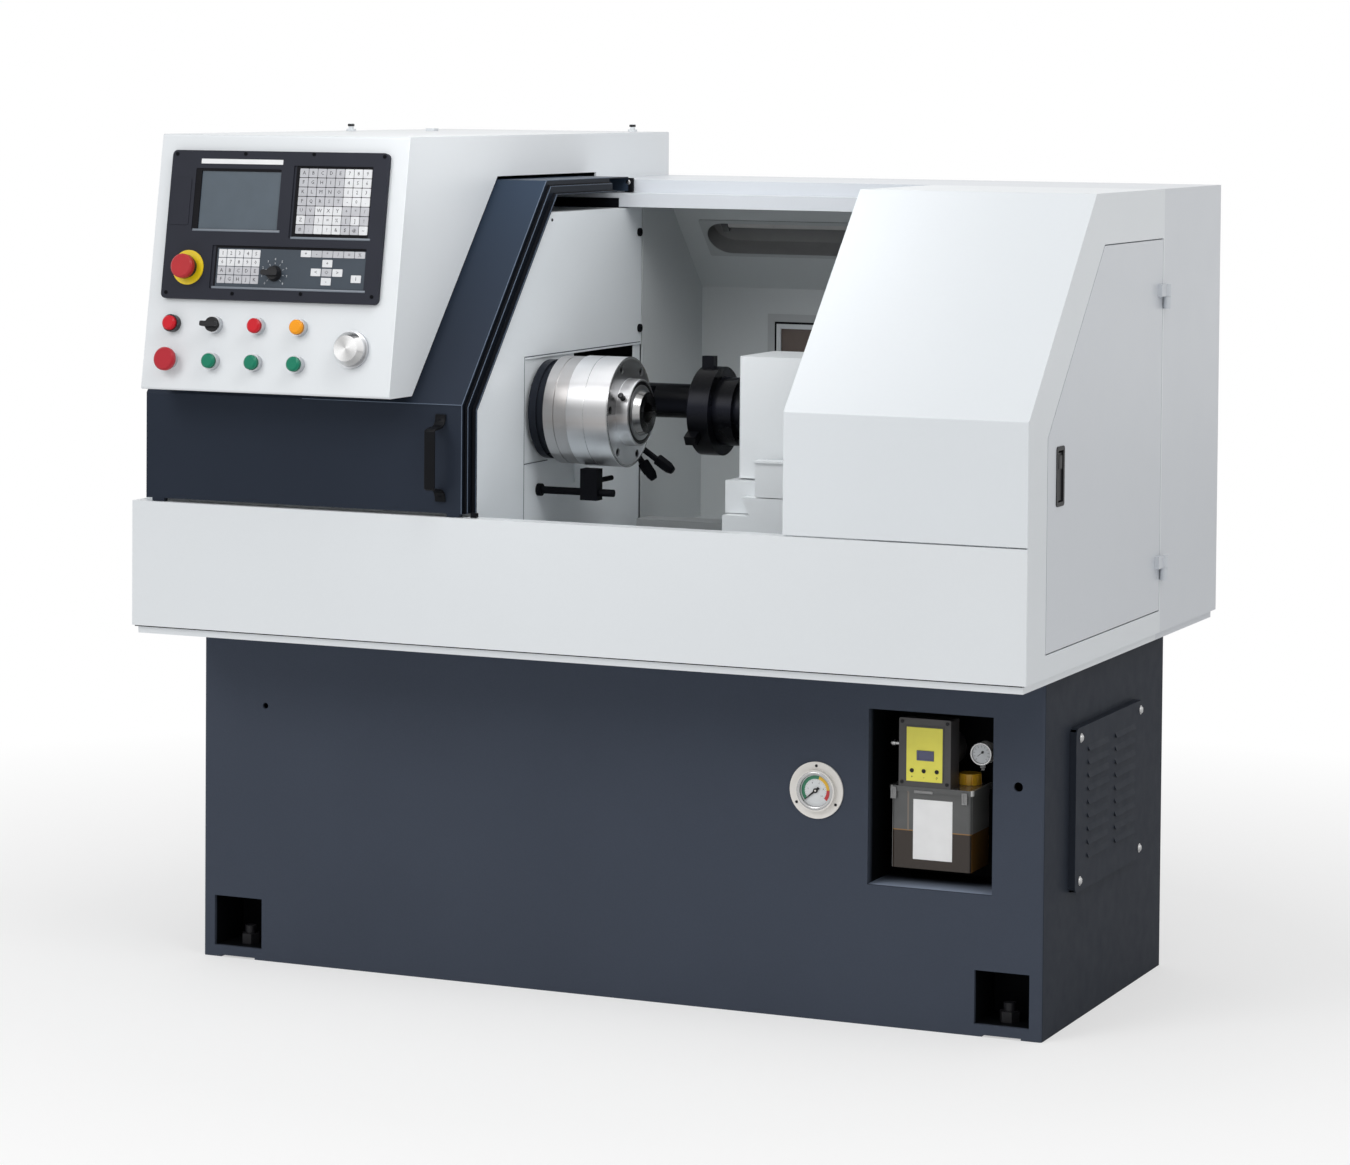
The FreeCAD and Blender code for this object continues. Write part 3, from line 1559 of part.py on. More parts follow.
def headstock_casting():
    """The spindle's housing: a pedestal under a barrel, bored for the two bearings."""
    radius = spindle_flange_radius - barrel_step
    foot = box(headstock_left, headstock_right, spindle_y - radius, spindle_y + radius, bed_top, spindle_z)
    barrel = rod(radius, headstock_left, headstock_right, spindle_y, spindle_z)
    bore = rod(spindle_front_radius + barrel_wall_gap, headstock_left, headstock_right, spindle_y, spindle_z)
    front = rod(spindle_front_radius + bearing_wall + bearing_clearance, front_bearing_left,
                headstock_right, spindle_y, spindle_z)
    rear = rod(spindle_rear_radius + bearing_wall + bearing_clearance, headstock_left,
               rear_bearing_left + rear_bearing_length, spindle_y, spindle_z)
    return joined([foot, barrel]).cut(Part.makeCompound([bore, front, rear]))


def bearing_ring(inner, left, length):
    outer = rod(inner + bearing_wall, left, left + length, spindle_y, spindle_z)
    return outer.cut(rod(inner + bearing_clearance, left, left + length, spindle_y, spindle_z))


def spindle_bearings():
    return Part.makeCompound([bearing_ring(spindle_rear_radius, rear_bearing_left, rear_bearing_length),
                              bearing_ring(spindle_front_radius, front_bearing_left, front_bearing_length)])


def spindle_shaft():
    """The bored spindle with its nose flange and the spigot that centres the chuck."""
    flange_left = wall_right_face + spindle_flange_gap
    flange_right = flange_left + spindle_flange_thickness
    seat_radius = spindle_flange_radius - spindle_seat_step
    tip = chuck_back + spigot_length
    profile = [(spindle_left, spindle_bore), (spindle_left, spindle_rear_radius),
               (spindle_step, spindle_rear_radius), (spindle_step, spindle_front_radius),
               (flange_left, spindle_front_radius), (flange_left, spindle_flange_radius),
               (flange_right, spindle_flange_radius), (flange_right, seat_radius),
               (chuck_back, seat_radius), (chuck_back, spigot_radius), (tip, spigot_radius),
               (tip, spindle_bore)]
    return turned_x(profile, spindle_y, spindle_z)


def pulley(radius, bore, y, z):
    """A flat belt pulley with a rim at each side."""
    left = pulley_left
    right = pulley_left + pulley_width
    rim = pulley_rim
    profile = [(left, bore), (left, radius + rim), (left + rim, radius + rim), (left + rim, radius),
               (right - rim, radius), (right - rim, radius + rim), (right, radius + rim), (right, bore)]
    return turned_x(profile, y, z)


def spindle_pulley():
    return pulley(pulley_radius, spindle_rear_radius, spindle_y, spindle_z)


def motor_pulley():
    shaft = rod(motor_shaft_radius, pulley_left - motor_shaft_out, motor_left + motor_shaft_seat, motor_y,
                motor_z)
    return joined([pulley(motor_pulley_radius, motor_shaft_radius, motor_y, motor_z), shaft])


def spindle_motor():
    body = rod(motor_radius, motor_left, motor_right, motor_y, motor_z)
    half = motor_foot_half
    foot = box(motor_left + motor_foot_inset, motor_right - motor_foot_inset, motor_y - half,
               motor_y + half, bed_top, bed_top + motor_foot_height)
    bore = rod(motor_shaft_radius + bearing_clearance, motor_left,
               motor_left + motor_shaft_seat + shaft_end_gap, motor_y, motor_z)
    return joined([body, foot]).cut(bore)


def belt_loop(grown, x0, x1):
    """The solid inside a belt's run: two discs and the block between their outer tangents."""
    big = pulley_radius + grown
    small = motor_pulley_radius + grown
    across = V(0, motor_y - spindle_y, motor_z - spindle_z)
    reach = across.Length
    along = V(across).normalize()
    side = V(0, -along.z, along.y)
    lean = (big - small) / reach
    level = math.sqrt(1 - lean * lean)
    corners = []
    for sign in (1, -1):
        outward = along * lean + side * (level * sign)
        start = V(x0, spindle_y, spindle_z) + outward * big
        end = V(x0, motor_y, motor_z) + outward * small
        corners += [start, end] if sign > 0 else [end, start]
    block = Part.Face(Part.makePolygon(corners + corners[:1])).extrude(V(x1 - x0, 0, 0))
    return joined([block, rod(big, x0, x1, spindle_y, spindle_z), rod(small, x0, x1, motor_y, motor_z)])


def drive_belt():
    x0 = pulley_left + pulley_rim + belt_rim_gap
    x1 = pulley_left + pulley_width - pulley_rim - belt_rim_gap
    return belt_loop(belt_gap + belt_thickness, x0, x1).cut(belt_loop(belt_gap, x0, x1))


def chuck_body():
    """The stepped chuck with its two ring grooves, its front boss and its ring of socket holes."""
    back = chuck_back
    front = chuck_front
    nose = chuck_front + boss_length
    rear = chuck_radius - chuck_step
    groove = back + chuck_groove
    groove_floor = rear - chuck_groove_depth
    split = back + chuck_split
    split_floor = rear - chuck_split_depth
    mouth = nose - boss_mouth_depth
    seat = back + spigot_length
    seat_radius = spigot_radius + bearing_clearance
    sleeve_radius = collet_shank + bearing_clearance
    profile = [(back, seat_radius), (back, rear), (groove, rear), (groove, groove_floor),
               (groove + chuck_groove_width, groove_floor), (groove + chuck_groove_width, rear),
               (split, rear), (split, split_floor), (split + chuck_split_width, split_floor),
               (split + chuck_split_width, chuck_radius), (front - chuck_step, chuck_radius),
               (front, rear), (front, boss_radius), (nose - boss_chamfer, boss_radius),
               (nose, boss_radius - boss_chamfer), (nose, boss_mouth_radius), (mouth, boss_mouth_radius),
               (mouth, boss_ring_radius), (nose, boss_ring_radius), (nose, sleeve_radius),
               (seat, sleeve_radius), (seat, seat_radius)]
    body = turned_x(profile, spindle_y, spindle_z)
    holes = []
    for turn in range(socket_count):
        angle = math.radians(360 / socket_count * turn + socket_first_angle)
        y = spindle_y + socket_circle * math.cos(angle)
        z = spindle_z + socket_circle * math.sin(angle)
        holes.append(rod(socket_radius, front - socket_depth, front + 1, y, z))
    return body.cut(Part.makeCompound(holes))


def collet():
    """The clamping sleeve in the chuck: a tapered nose split by three slots."""
    back = chuck_back + spigot_length + collet_seat_gap
    nose = chuck_front + boss_length
    tip = nose + collet_nose
    profile = [(back, collet_bore), (back, collet_shank), (nose, collet_shank),
               (nose, collet_face_radius), (tip, collet_tip_radius), (tip, collet_bore)]
    body = turned_x(profile, spindle_y, spindle_z)
    half = collet_slot_width / 2
    slots = []
    for turn in range(collet_slots):
        slot = box(nose - collet_slot_length, tip, spindle_y - half, spindle_y + half, spindle_z,
                   spindle_z + collet_face_radius + 1)
        slot.rotate(V(nose, spindle_y, spindle_z), ALONG, 360 / collet_slots * turn + collet_first_angle)
        slots.append(slot)
    return body.cut(Part.makeCompound(slots))


# Slides and tools


def dovetail_points():
    left = dovetail_left
    right = dovetail_left + dovetail_width
    top = saddle_top + dovetail_height
    return [(left + dovetail_slope, saddle_top), (right - dovetail_slope, saddle_top), (right, top),
            (left, top)]


def saddle():
    """The carriage on the bed's ways, with lips outside them, its screw's nut and a dovetail on top."""
    x0 = saddle_left
    x1 = saddle_left + saddle_length
    back = saddle_front + saddle_depth
    low = bed_top + saddle_lip_gap
    high = way_top + slide_gap + 1
    plate = box(x0, x1, saddle_front, back, way_top + slide_gap, saddle_top)
    lips = [box(x0, x1, saddle_front, way_front - slide_gap, low, high),
            box(x0, x1, way_back + slide_gap, way_back + saddle_lip_width, low, high)]
    middle = x0 + saddle_length / 2
    left, right = middle - nut_half_length, middle + nut_half_length
    nut = box(left, right, carriage_screw_y - nut_half_width, carriage_screw_y + nut_half_width,
              carriage_screw_z - nut_half_width, high)
    tail = prism_y(dovetail_points(), saddle_front, back)
    bore = rod(carriage_screw_radius + bearing_clearance, left, right, carriage_screw_y,
               carriage_screw_z)
    return joined([plate, nut, tail] + lips).cut(bore)


def cross_slide():
    """The slide on the saddle's dovetail, with the front block of its drive and the bar's holder."""
    back = cross_front + cross_depth
    body = box(cross_left, cross_left + cross_length, cross_front, back, cross_bottom, cross_top)
    corners = [V(x, cross_front, z) for x, z in dovetail_points()]
    tail = Part.Face(Part.makePolygon(corners + corners[:1])).makeOffset2D(slide_gap + dovetail_gap, 2)
    body = body.cut(tail.extrude(V(0, cross_depth, 0)))
    x0 = cross_left + drive_inset
    x1 = x0 + drive_length
    block = box(x0, x1, cross_front - drive_out, cross_front, saddle_top + dovetail_height + drive_gap,
                cross_top + drive_rise)
    lid = box(x0 - lid_rim, x1 + lid_rim, cross_front - drive_out - lid_rim, cross_front + lid_rim,
              cross_top + drive_rise, cross_top + drive_rise + lid_thickness)
    left = cross_left + holder_inset
    holder = box(left, left + holder_length, bar_y - holder_half, bar_y + holder_half, cross_top,
                 spindle_z + holder_half)
    holder = rounded(holder, head_edge_radius, ALONG, lambda middle: middle.z > spindle_z)
    bore = rod(bar_radius + bearing_clearance, left, bar_right + 1, bar_y, spindle_z)
    return joined([body, block, lid, holder]).cut(bore)


def tool_head():
    """The driven head's housing on its plinth, bored for the disc's shaft."""
    x1 = head_left + head_length
    y1 = head_front + head_depth
    inset = head_plinth_inset
    body = box(head_left, x1, head_front, y1, head_bottom, head_top)
    body = rounded(body, head_edge_radius, UP, lambda middle: True)
    plinth = box(head_left + inset, x1 - inset, head_front + inset, y1 - inset, cross_top, head_bottom)
    bore = rod(disc_shaft_radius + bearing_clearance, head_left, head_left + disc_shaft_length + 1,
               disc_y, spindle_z)
    return joined([body, plinth]).cut(bore)


def tool_disc():
    """The stepped disc with three lugs on the head's shaft."""
    x0 = disc_left
    x1 = disc_left + disc_length
    hub = head_left - disc_neck_length
    seat = head_left - disc_seat_gap
    end = head_left + disc_shaft_length
    well = x0 + disc_mouth_depth
    profile = [(x0, disc_mouth_radius), (x0, disc_radius - disc_chamfer), (x0 + disc_chamfer, disc_radius),
               (x1, disc_radius), (x1, disc_hub_radius), (hub, disc_hub_radius), (hub, disc_neck_radius),
               (seat, disc_neck_radius), (seat, disc_shaft_radius), (end, disc_shaft_radius), (end, 0),
               (well, 0), (well, disc_mouth_radius)]
    body = turned_x(profile, disc_y, spindle_z)
    lugs = []
    for turn in range(disc_lugs):
        lug = box(x0, x0 + disc_lug_length, disc_y - disc_lug_width / 2, disc_y + disc_lug_width / 2,
                  spindle_z + disc_hub_radius, spindle_z + disc_lug_radius)
        lug.rotate(V(x0, disc_y, spindle_z), ALONG, 360 / disc_lugs * turn)
        lugs.append(lug)
    return joined([body] + lugs)


def boring_bar():
    """The round bar in its holder, with a small seat milled at its tip for an insert."""
    bar = rod(bar_radius, bar_left, bar_right, bar_y, spindle_z)
    front = bar_y - bar_radius
    seat = box(bar_left, bar_left + insert_seat_length, front, front + insert_seat_depth, spindle_z,
               spindle_z + bar_radius)
    return bar.cut(seat)


def carriage_screw():
    """The screw in the bed's trough, turning in the end walls and in the feed motor."""
    left = wall_right_face + screw_left_gap
    right = bed_right + screw_motor_seat
    thread_left = trough_left + screw_end_gap
    thread_right = trough_right - screw_end_gap
    profile = [(left, 0), (left, screw_journal_radius), (thread_left, screw_journal_radius),
               (thread_left, carriage_screw_radius), (thread_right, carriage_screw_radius),
               (thread_right, screw_journal_radius), (right, screw_journal_radius), (right, 0)]
    return turned_x(profile, carriage_screw_y, carriage_screw_z)


def feed_motor():
    half = feed_motor_size / 2
    body = box(bed_right, bed_right + feed_motor_length, carriage_screw_y - half, carriage_screw_y + half,
               carriage_screw_z - half, carriage_screw_z + half)
    body = rounded(body, feed_motor_edge, ALONG, lambda middle: True)
    end = bed_right + screw_motor_seat + 1
    return body.cut(rod(screw_journal_radius + bearing_clearance, bed_right, end, carriage_screw_y,
                        carriage_screw_z))


def tube(start, end, radius):
    step = end - start
    return Part.makeCylinder(radius, step.Length, start, step)


def coolant_nozzles():
    """A pipe from the guard plate to a small manifold with two aimed nozzles."""
    x = guard_face + nozzle_reach
    y = nozzle_y
    middle = V(x, y, nozzle_z)
    half = manifold_half
    pieces = [rod(nozzle_flange_radius, guard_face, guard_face + flange_thickness, y, nozzle_z),
              rod(nozzle_pipe_radius, guard_face, x - half, y, nozzle_z),
              box(x - manifold_length / 2, x + manifold_length / 2, y - half, y + half, nozzle_z - half,
                  nozzle_z + half)]
    for along, down in ((long_nozzle_reach, long_nozzle_drop), (short_nozzle_reach, short_nozzle_drop)):
        end = middle + V(along, 0, -down)
        aim = (end - middle).normalize()
        neck = end - aim * (nozzle_head_length + nozzle_tip_length)
        pieces.append(tube(middle, end, nozzle_hose_radius))
        pieces.append(tube(neck, neck + aim * nozzle_head_length, nozzle_head_radius))
    return joined(pieces)


def stop_bracket():
    """A rod with a small block that carries a cross pin."""
    y = stop_y
    left = guard_face + stop_block_left
    right = left + stop_block_length
    back = y + stop_block_half
    flange = rod(stop_flange_radius, guard_face, guard_face + flange_thickness, y, stop_z)
    bar = rod(stop_bar_radius, guard_face, guard_face + stop_bar_length, y, stop_z)
    block = box(left, right, y - stop_block_half, back, stop_z - stop_block_low, stop_z + stop_block_high)
    cross_pin = pin(stop_pin_radius, right - stop_pin_inset, back, back + stop_pin_length,
                    stop_z + stop_pin_rise)
    return joined([flange, bar, block, cross_pin])


pieces = {
    "base_cabinet": base_cabinet, "levelling_bolts": levelling_bolts, "louvre_cover": louvre_cover,
    "pressure_gauge": pressure_gauge, "gauge_needle": gauge_needle, "lubricator_head": lubricator_head,
    "oil_tank": oil_tank, "filler_cap": filler_cap, "lube_gauge": lube_gauge, "drip_tray": drip_tray,
    "rear_cover": rear_cover, "right_hood": right_hood, "top_rail": top_rail,
    "headstock_cover": headstock_cover, "headstock_wall": headstock_wall,
    "headstock_guard": headstock_guard, "work_area_liner": work_area_liner, "work_lamp": work_lamp,
    "lamp_tube": lamp_tube, "back_window": back_window, "sliding_door": sliding_door,
    "door_handle": door_handle, "service_door": service_door, "latch_body": latch_body,
    "latch_lever": latch_lever, "control_cabinet": control_cabinet, "control_plate": control_plate,
    "screen": screen, "keypads": keypads, "button_bezels": button_bezels,
    "mushroom_button": mushroom_button, "e_stop_button": stop_head, "selector_lever": selector_lever,
    "override_knob": override_knob, "handwheel": handwheel, "bed_casting": bed_casting,
    "headstock_casting": headstock_casting, "spindle_bearings": spindle_bearings,
    "spindle_shaft": spindle_shaft, "spindle_pulley": spindle_pulley, "motor_pulley": motor_pulley,
    "spindle_motor": spindle_motor, "drive_belt": drive_belt, "chuck_body": chuck_body,
    "collet": collet, "saddle": saddle, "cross_slide": cross_slide, "tool_head": tool_head,
    "tool_disc": tool_disc, "boring_bar": boring_bar, "carriage_screw": carriage_screw,
    "feed_motor": feed_motor, "coolant_nozzles": coolant_nozzles, "stop_bracket": stop_bracket,
}
plain_buttons = {
    "red_button": (0, button_row_high), "stop_button": (2, button_row_high),
    "amber_button": (3, button_row_high), "green_button_1": (1, button_row_low),
    "green_button_2": (2, button_row_low), "green_button_3": (3, button_row_low),
}

os.makedirs("parts", exist_ok=True)
for name, make in pieces.items():
    save(name, make())
for name, place in plain_buttons.items():
    save(name, plain_button(*place))
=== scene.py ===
import bpy
import bmesh
import math
from mathutils import Matrix, Vector


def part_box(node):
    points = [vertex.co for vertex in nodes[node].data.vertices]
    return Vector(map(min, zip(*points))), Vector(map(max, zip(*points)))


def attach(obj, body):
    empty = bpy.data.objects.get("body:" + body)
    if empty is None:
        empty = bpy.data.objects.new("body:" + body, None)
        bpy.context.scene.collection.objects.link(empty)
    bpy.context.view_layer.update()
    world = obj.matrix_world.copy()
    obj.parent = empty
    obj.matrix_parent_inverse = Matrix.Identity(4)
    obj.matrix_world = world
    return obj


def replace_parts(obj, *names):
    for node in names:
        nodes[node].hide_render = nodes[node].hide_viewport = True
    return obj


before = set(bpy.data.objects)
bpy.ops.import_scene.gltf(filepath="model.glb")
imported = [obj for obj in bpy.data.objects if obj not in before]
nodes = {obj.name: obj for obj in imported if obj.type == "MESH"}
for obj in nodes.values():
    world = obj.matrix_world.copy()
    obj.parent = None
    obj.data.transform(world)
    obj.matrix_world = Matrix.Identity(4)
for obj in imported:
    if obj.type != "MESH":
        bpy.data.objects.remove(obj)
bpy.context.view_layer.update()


# small helpers for shaders

class Signal:  # one socket of a node tree, which can be used in sums
    def __init__(self, owner, socket):
        self.owner, self.socket = owner, socket

    def maths(self, operation, *others):
        return self.owner.node("Math", {"operation": operation}, dict(enumerate((self, *others))))

    def __add__(self, other):
        return self.maths("ADD", other)

    def __sub__(self, other):
        return self.maths("SUBTRACT", other)

    def __rsub__(self, other):
        return (self * -1) + other

    def __rtruediv__(self, other):
        return (self ** -1) * other

    def __mul__(self, other):
        return self.maths("MULTIPLY", other)

    def __truediv__(self, other):
        return self.maths("DIVIDE", other)

    def __pow__(self, other):
        return self.maths("POWER", other)

    def __gt__(self, other):
        return self.maths("GREATER_THAN", other)

    def __lt__(self, other):
        return self.maths("LESS_THAN", other)

    def __abs__(self):
        return self.maths("ABSOLUTE")

    __radd__ = __add__
    __rmul__ = __mul__

    def clamped(self):
        return self.maths("MINIMUM", 1).maths("MAXIMUM", 0)


class Nodes:  # a node tree and the ways its nodes are made
    def __init__(self, tree):
        self.tree = tree

    def give(self, value, socket):
        if isinstance(value, Signal):
            self.tree.links.new(value.socket, socket)
        else:
            socket.default_value = value

    def node(self, kind, settings=None, values=None, out=0):
        made = self.tree.nodes.new("ShaderNode" + kind)
        for name, value in (settings or {}).items():
            setattr(made, name, value)
        for name, value in (values or {}).items():
            self.give(value, made.inputs[name])
        return Signal(self, made.outputs[out])

    def place(self, centre=(0, 0, 0)):  # a point on the piece, in metres from a centre
        spot = self.node("TexCoord", out="Object")
        return self.node("Mapping", None, {"Vector": spot, "Location": [-value for value in centre]})

    def axes(self, centre=(0, 0, 0)):  # how far a point lies east, north and up of a centre
        spot = self.place(centre)
        return [self.node("SeparateXYZ", None, {0: spot}, axis) for axis in range(3)]

    def within(self, base):  # the three coordinates of a frame, in metres
        spot = self.place(base.translation)
        return [self.node("VectorMath", {"operation": "DOT_PRODUCT"}, {0: spot, 1: base.col[axis].xyz},
                          "Value") for axis in range(3)]

    def around(self, base):  # height along, distance from and angle about the z axis of a frame
        across, up, along = self.within(base)
        return along, (across * across + up * up) ** 0.5, up.maths("ARCTAN2", across)

    def noise(self, size, detail=2.0):  # size is the grain in metres
        return self.node("TexNoise", None, {"Vector": self.place(), "Scale": 1 / size,
                                            "Detail": detail, "Roughness": 0.55})

    def mix(self, share, first, second):
        first, second = (end if isinstance(end, Signal) else (*end, 1) for end in (first, second))
        return self.node("Mix", {"data_type": "RGBA"}, {0: share, 6: first, 7: second}, out=2)

    def cloudy(self, colour, low, high, size, detail=2.0):  # a colour that drifts between two tints
        return self.mix(self.noise(size, detail), tint(colour, low), tint(colour, high))


class Finish(Nodes):  # one material
    def __init__(self, colour, rough, metal=0.0, coat=0.0, coatRough=0.1, gloss=0.5):
        self.material = bpy.data.materials.new("finish")
        self.material.use_nodes = True
        super().__init__(self.material.node_tree)
        self.shader = self.tree.nodes["Principled BSDF"]
        for name, value in (("Base Color", (*colour, 1)), ("Roughness", rough), ("Metallic", metal),
                            ("Specular IOR Level", gloss), ("Coat Weight", coat),
                            ("Coat Roughness", coatRough)):
            self.set(name, value)

    def set(self, name, value):
        self.give(value, self.shader.inputs[name])

    def paint(self, shade, *patches):  # a ground colour and what lies over it, each with its mask
        for mask, colour in patches:
            shade = self.mix(mask, shade, colour)
        self.set("Base Color", shade)

    def bump(self, height, depth):  # depth in metres
        self.set("Normal", self.node("Bump", None, {"Height": height, "Distance": depth}))

    def skin(self, patch, least, swing, grain, depth, detail=1):  # patches of gloss and a fine grain
        self.set("Roughness", self.noise(patch) * swing + least)
        self.bump(self.noise(grain, detail), depth)


def tint(colour, factor):
    return tuple(min(1, channel * factor) for channel in colour)


# camera, floor and lights

camera = {
    "place": (2.9077, -6.7300, 1.5785),
    "yaw": 23.534, "pitch": 2.248, "roll": -0.459,  # degrees
    "focalPixels": 4112.8, "sensor": 36, "reach": 60,
    "frame": (1350, 1165),
    "axisHeight": 241.3,  # the row of the frame that the lens looks straight at
}


def added(name, data):
    holder = bpy.data.objects.new(name, data)
    bpy.context.scene.collection.objects.link(holder)
    return holder


def makeCamera():
    lens = bpy.data.cameras.new("camera")
    width, height = camera["frame"]
    lens.sensor_width = camera["sensor"]
    lens.lens = camera["sensor"] * camera["focalPixels"] / width
    lens.shift_y = (camera["axisHeight"] - height / 2) / width
    lens.clip_end = camera["reach"]
    holder = added("camera", lens)
    yaw, pitch, roll = (math.radians(camera[name]) for name in ("yaw", "pitch", "roll"))
    turn = Matrix.Rotation(yaw, 4, "Z") @ Matrix.Rotation(math.pi / 2 - pitch, 4, "X")
    turn = turn @ Matrix.Rotation(-roll, 4, "Z")
    holder.matrix_world = Matrix.Translation(camera["place"]) @ turn
    bpy.context.scene.camera = holder


lamps = {  # places and sizes in metres, power in watts, spread in degrees
    "key": {"from": (-2.2, -5.2, 4.6), "at": (0, 0, 0.8), "size": 3.4, "power": 120},
    "fill": {"from": (3.2, -2.2, 4.6), "at": (0, 0, 0.8), "size": 2.6, "power": 40},
    "top": {"from": (0.3, -0.6, 5.2), "at": (0, 0, 0.8), "size": 3.6, "power": 24},
    "inner": {"from": (0.16, -0.72, 1.95), "at": (-0.15, 0.05, 0.95), "size": 0.6, "power": 1.3,
              "spread": 90},
}
worldLevel = 0.55
ground = {"size": 24, "level": -0.0005, "plain": 1.2, "fade": 1.6}  # metres; past the fade only white shows


def makeLamps():
    for name, lamp in lamps.items():
        light = bpy.data.lights.new(name, "AREA")
        light.shape = "DISK"
        light.size = lamp["size"]
        light.energy = lamp["power"]
        light.spread = math.radians(lamp.get("spread", 180))
        holder = added(name, light)
        holder.location = lamp["from"]
        away = Vector(lamp["from"]) - Vector(lamp["at"])
        holder.rotation_euler = away.to_track_quat("Z", "Y").to_euler()


def makeWorld():
    world = bpy.data.worlds.new("studio")
    bpy.context.scene.world = world
    world.use_nodes = True
    sky = Nodes(world.node_tree)
    sky.tree.nodes.remove(sky.tree.nodes["Background"])
    seen, glossy, through = (sky.node("LightPath", out=f"Is {kind} Ray")
                             for kind in ("Camera", "Glossy", "Transmission"))
    plain, bright = (sky.node("Background", None, {"Color": (1, 1, 1, 1), "Strength": level})
                     for level in (worldLevel, 1))
    share = seen.maths("MAXIMUM", glossy).maths("MAXIMUM", through)
    sky.give(sky.node("MixShader", None, {0: share, 1: plain, 2: bright}),
             sky.tree.nodes["World Output"].inputs["Surface"])


def makeFloor():
    bpy.ops.object.select_all(action="DESELECT")
    bpy.ops.mesh.primitive_plane_add(size=ground["size"], location=(0, 0, ground["level"]))
    floor = bpy.context.object
    floor.name = "floor"
    look = Finish((0.93, 0.93, 0.93), 0.9)
    look.material.name = "floorFinish"
    look.paint(look.mix(look.noise(1.7), (0.92, 0.92, 0.92), (0.95, 0.95, 0.95)))
    east, north, up = look.axes()
    far = ((east * east + north * north) ** 0.5 - ground["plain"]) / ground["fade"]
    share = (far.clamped() * 0.5 + 0.5) * look.node("LightPath", out="Is Camera Ray")
    glow = look.node("Emission", None, {"Color": (1, 1, 1, 1), "Strength": 1})
    cover = look.node("MixShader", None, {0: share, 1: Signal(look, look.shader.outputs[0]), 2: glow})
    look.give(cover, look.tree.nodes["Material Output"].inputs["Surface"])
    floor.data.materials.append(look.material)


makeCamera()
makeLamps()
makeWorld()
makeFloor()
bpy.context.scene.view_settings.view_transform = "Standard"
print("camera, lights and floor")


# places on the machine

def facing(spot, towards):  # a frame at a place in metres whose z points one way and whose y is up
    turn = Vector(towards).to_track_quat("Z", "Y").to_matrix().to_4x4()
    return Matrix.Translation(spot) @ turn


def shifted(base, x=0, y=0, z=0, spin=0):  # a step in millimetres within a frame, then a turn in degrees
    step = Matrix.Translation((x / 1000, y / 1000, z / 1000))
    return base @ step @ Matrix.Rotation(math.radians(spin), 4, "Z")


def polar(base, radius, angle, z=0, turned=True):  # a place on a circle, whose x points outwards if turned
    turn = math.radians(angle)
    return shifted(base, radius * math.cos(turn), radius * math.sin(turn), z, angle if turned else 0)


def evenly(first, last, count):  # even steps from one angle to another, both included
    return [first + (last - first) * index / (count - 1) for index in range(count)]


def flatFrame(name, towards, outer=False):  # a node's widest or outermost flat face, from its lower left
    mesh = nodes[name].data
    faces = {}
    for face in mesh.polygons:
        if face.normal.dot(Vector(towards).normalized()) > 0.8:
            level = round(face.center.dot(face.normal), 4)
            faces.setdefault((*(round(value, 3) for value in face.normal), level), []).append(face)
    key = max(faces, key=lambda entry: entry[3] if outer else sum(face.area for face in faces[entry]))
    turn = Vector(key[:3]).to_track_quat("Z", "Y").to_matrix()
    corners = [turn.inverted() @ mesh.vertices[index].co for face in faces[key] for index in face.vertices]
    low = Vector([min(corner[axis] for corner in corners) for axis in range(3)])
    return Matrix.Translation(turn @ low) @ turn.to_4x4()


def middle(name):
    low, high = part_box(name)
    return [(low[axis] + high[axis]) / 2 for axis in range(3)]


def axisOf(name):  # the axis of a node that lies east and west
    return facing((0, *middle(name)[1:]), (1, 0, 0))


def onWall(x, y, z, towards=(1, 0, 0)):  # a frame at a place in millimetres from the corner of the base
    low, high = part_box("base_cabinet")
    return facing((x / 1000 + low[0], y / 1000 + low[1], z / 1000), towards)


bossLength = 23  # millimetres that the chuck's boss stands out of its drum
discToBar = 173  # millimetres between the axes of the tool disc and the boring bar
chuckFront = facing((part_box("chuck_body")[1][0] - bossLength / 1000, *middle("chuck_body")[1:]), (1, 0, 0))
chuckAxis, barAxis, screwAxis = (axisOf(name) for name in ("chuck_body", "boring_bar", "carriage_screw"))
discAxis = facing((0, middle("boring_bar")[1] - discToBar / 1000, middle("chuck_body")[2]), (1, 0, 0))
panel = flatFrame("control_plate", (0, -1, 0))
lampFace = flatFrame("work_lamp", (0, -0.7, -0.7), outer=True)
panelSpots = {"stop": (50, 54), "knob": (218, 48), "red": (25, -43), "wheel": (376, -77)}


# finishes: sizes in metres, colours as red, green and blue

sheetCloud = 0.42  # the soft unevenness of a painted sheet


def sheetPaint(colour, rough=0.34, tone=0.03, gloss=0.5, coat=0.2):  # powder coat on folded sheet
    look = Finish(colour, rough, coat=coat, coatRough=0.22, gloss=gloss)
    shade = (look.noise(sheetCloud, 3) * 0.75 + look.noise(0.006, 1) * 0.25).clamped()
    look.paint(look.mix(shade, tint(colour, 1 - tone), tint(colour, 1 + tone)))
    look.skin(patch=0.09, least=rough - 0.06, swing=0.12, grain=0.0016, depth=0.00003)
    return look


def coverPaint(colour):  # painted shade: the slot beside the chuck, which opens into the dark, is painted near black
    look = sheetPaint(colour, rough=0.45)
    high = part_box("headstock_cover")[1]
    back, side = 0.006, 0.004
    east, north, up = look.axes()
    recess = (north > high[1] - back) * (east < high[0] - side)
    look.paint(look.cloudy(colour, 0.97, 1.03, sheetCloud, 3), (recess, (0.012, 0.013, 0.014)))
    return look


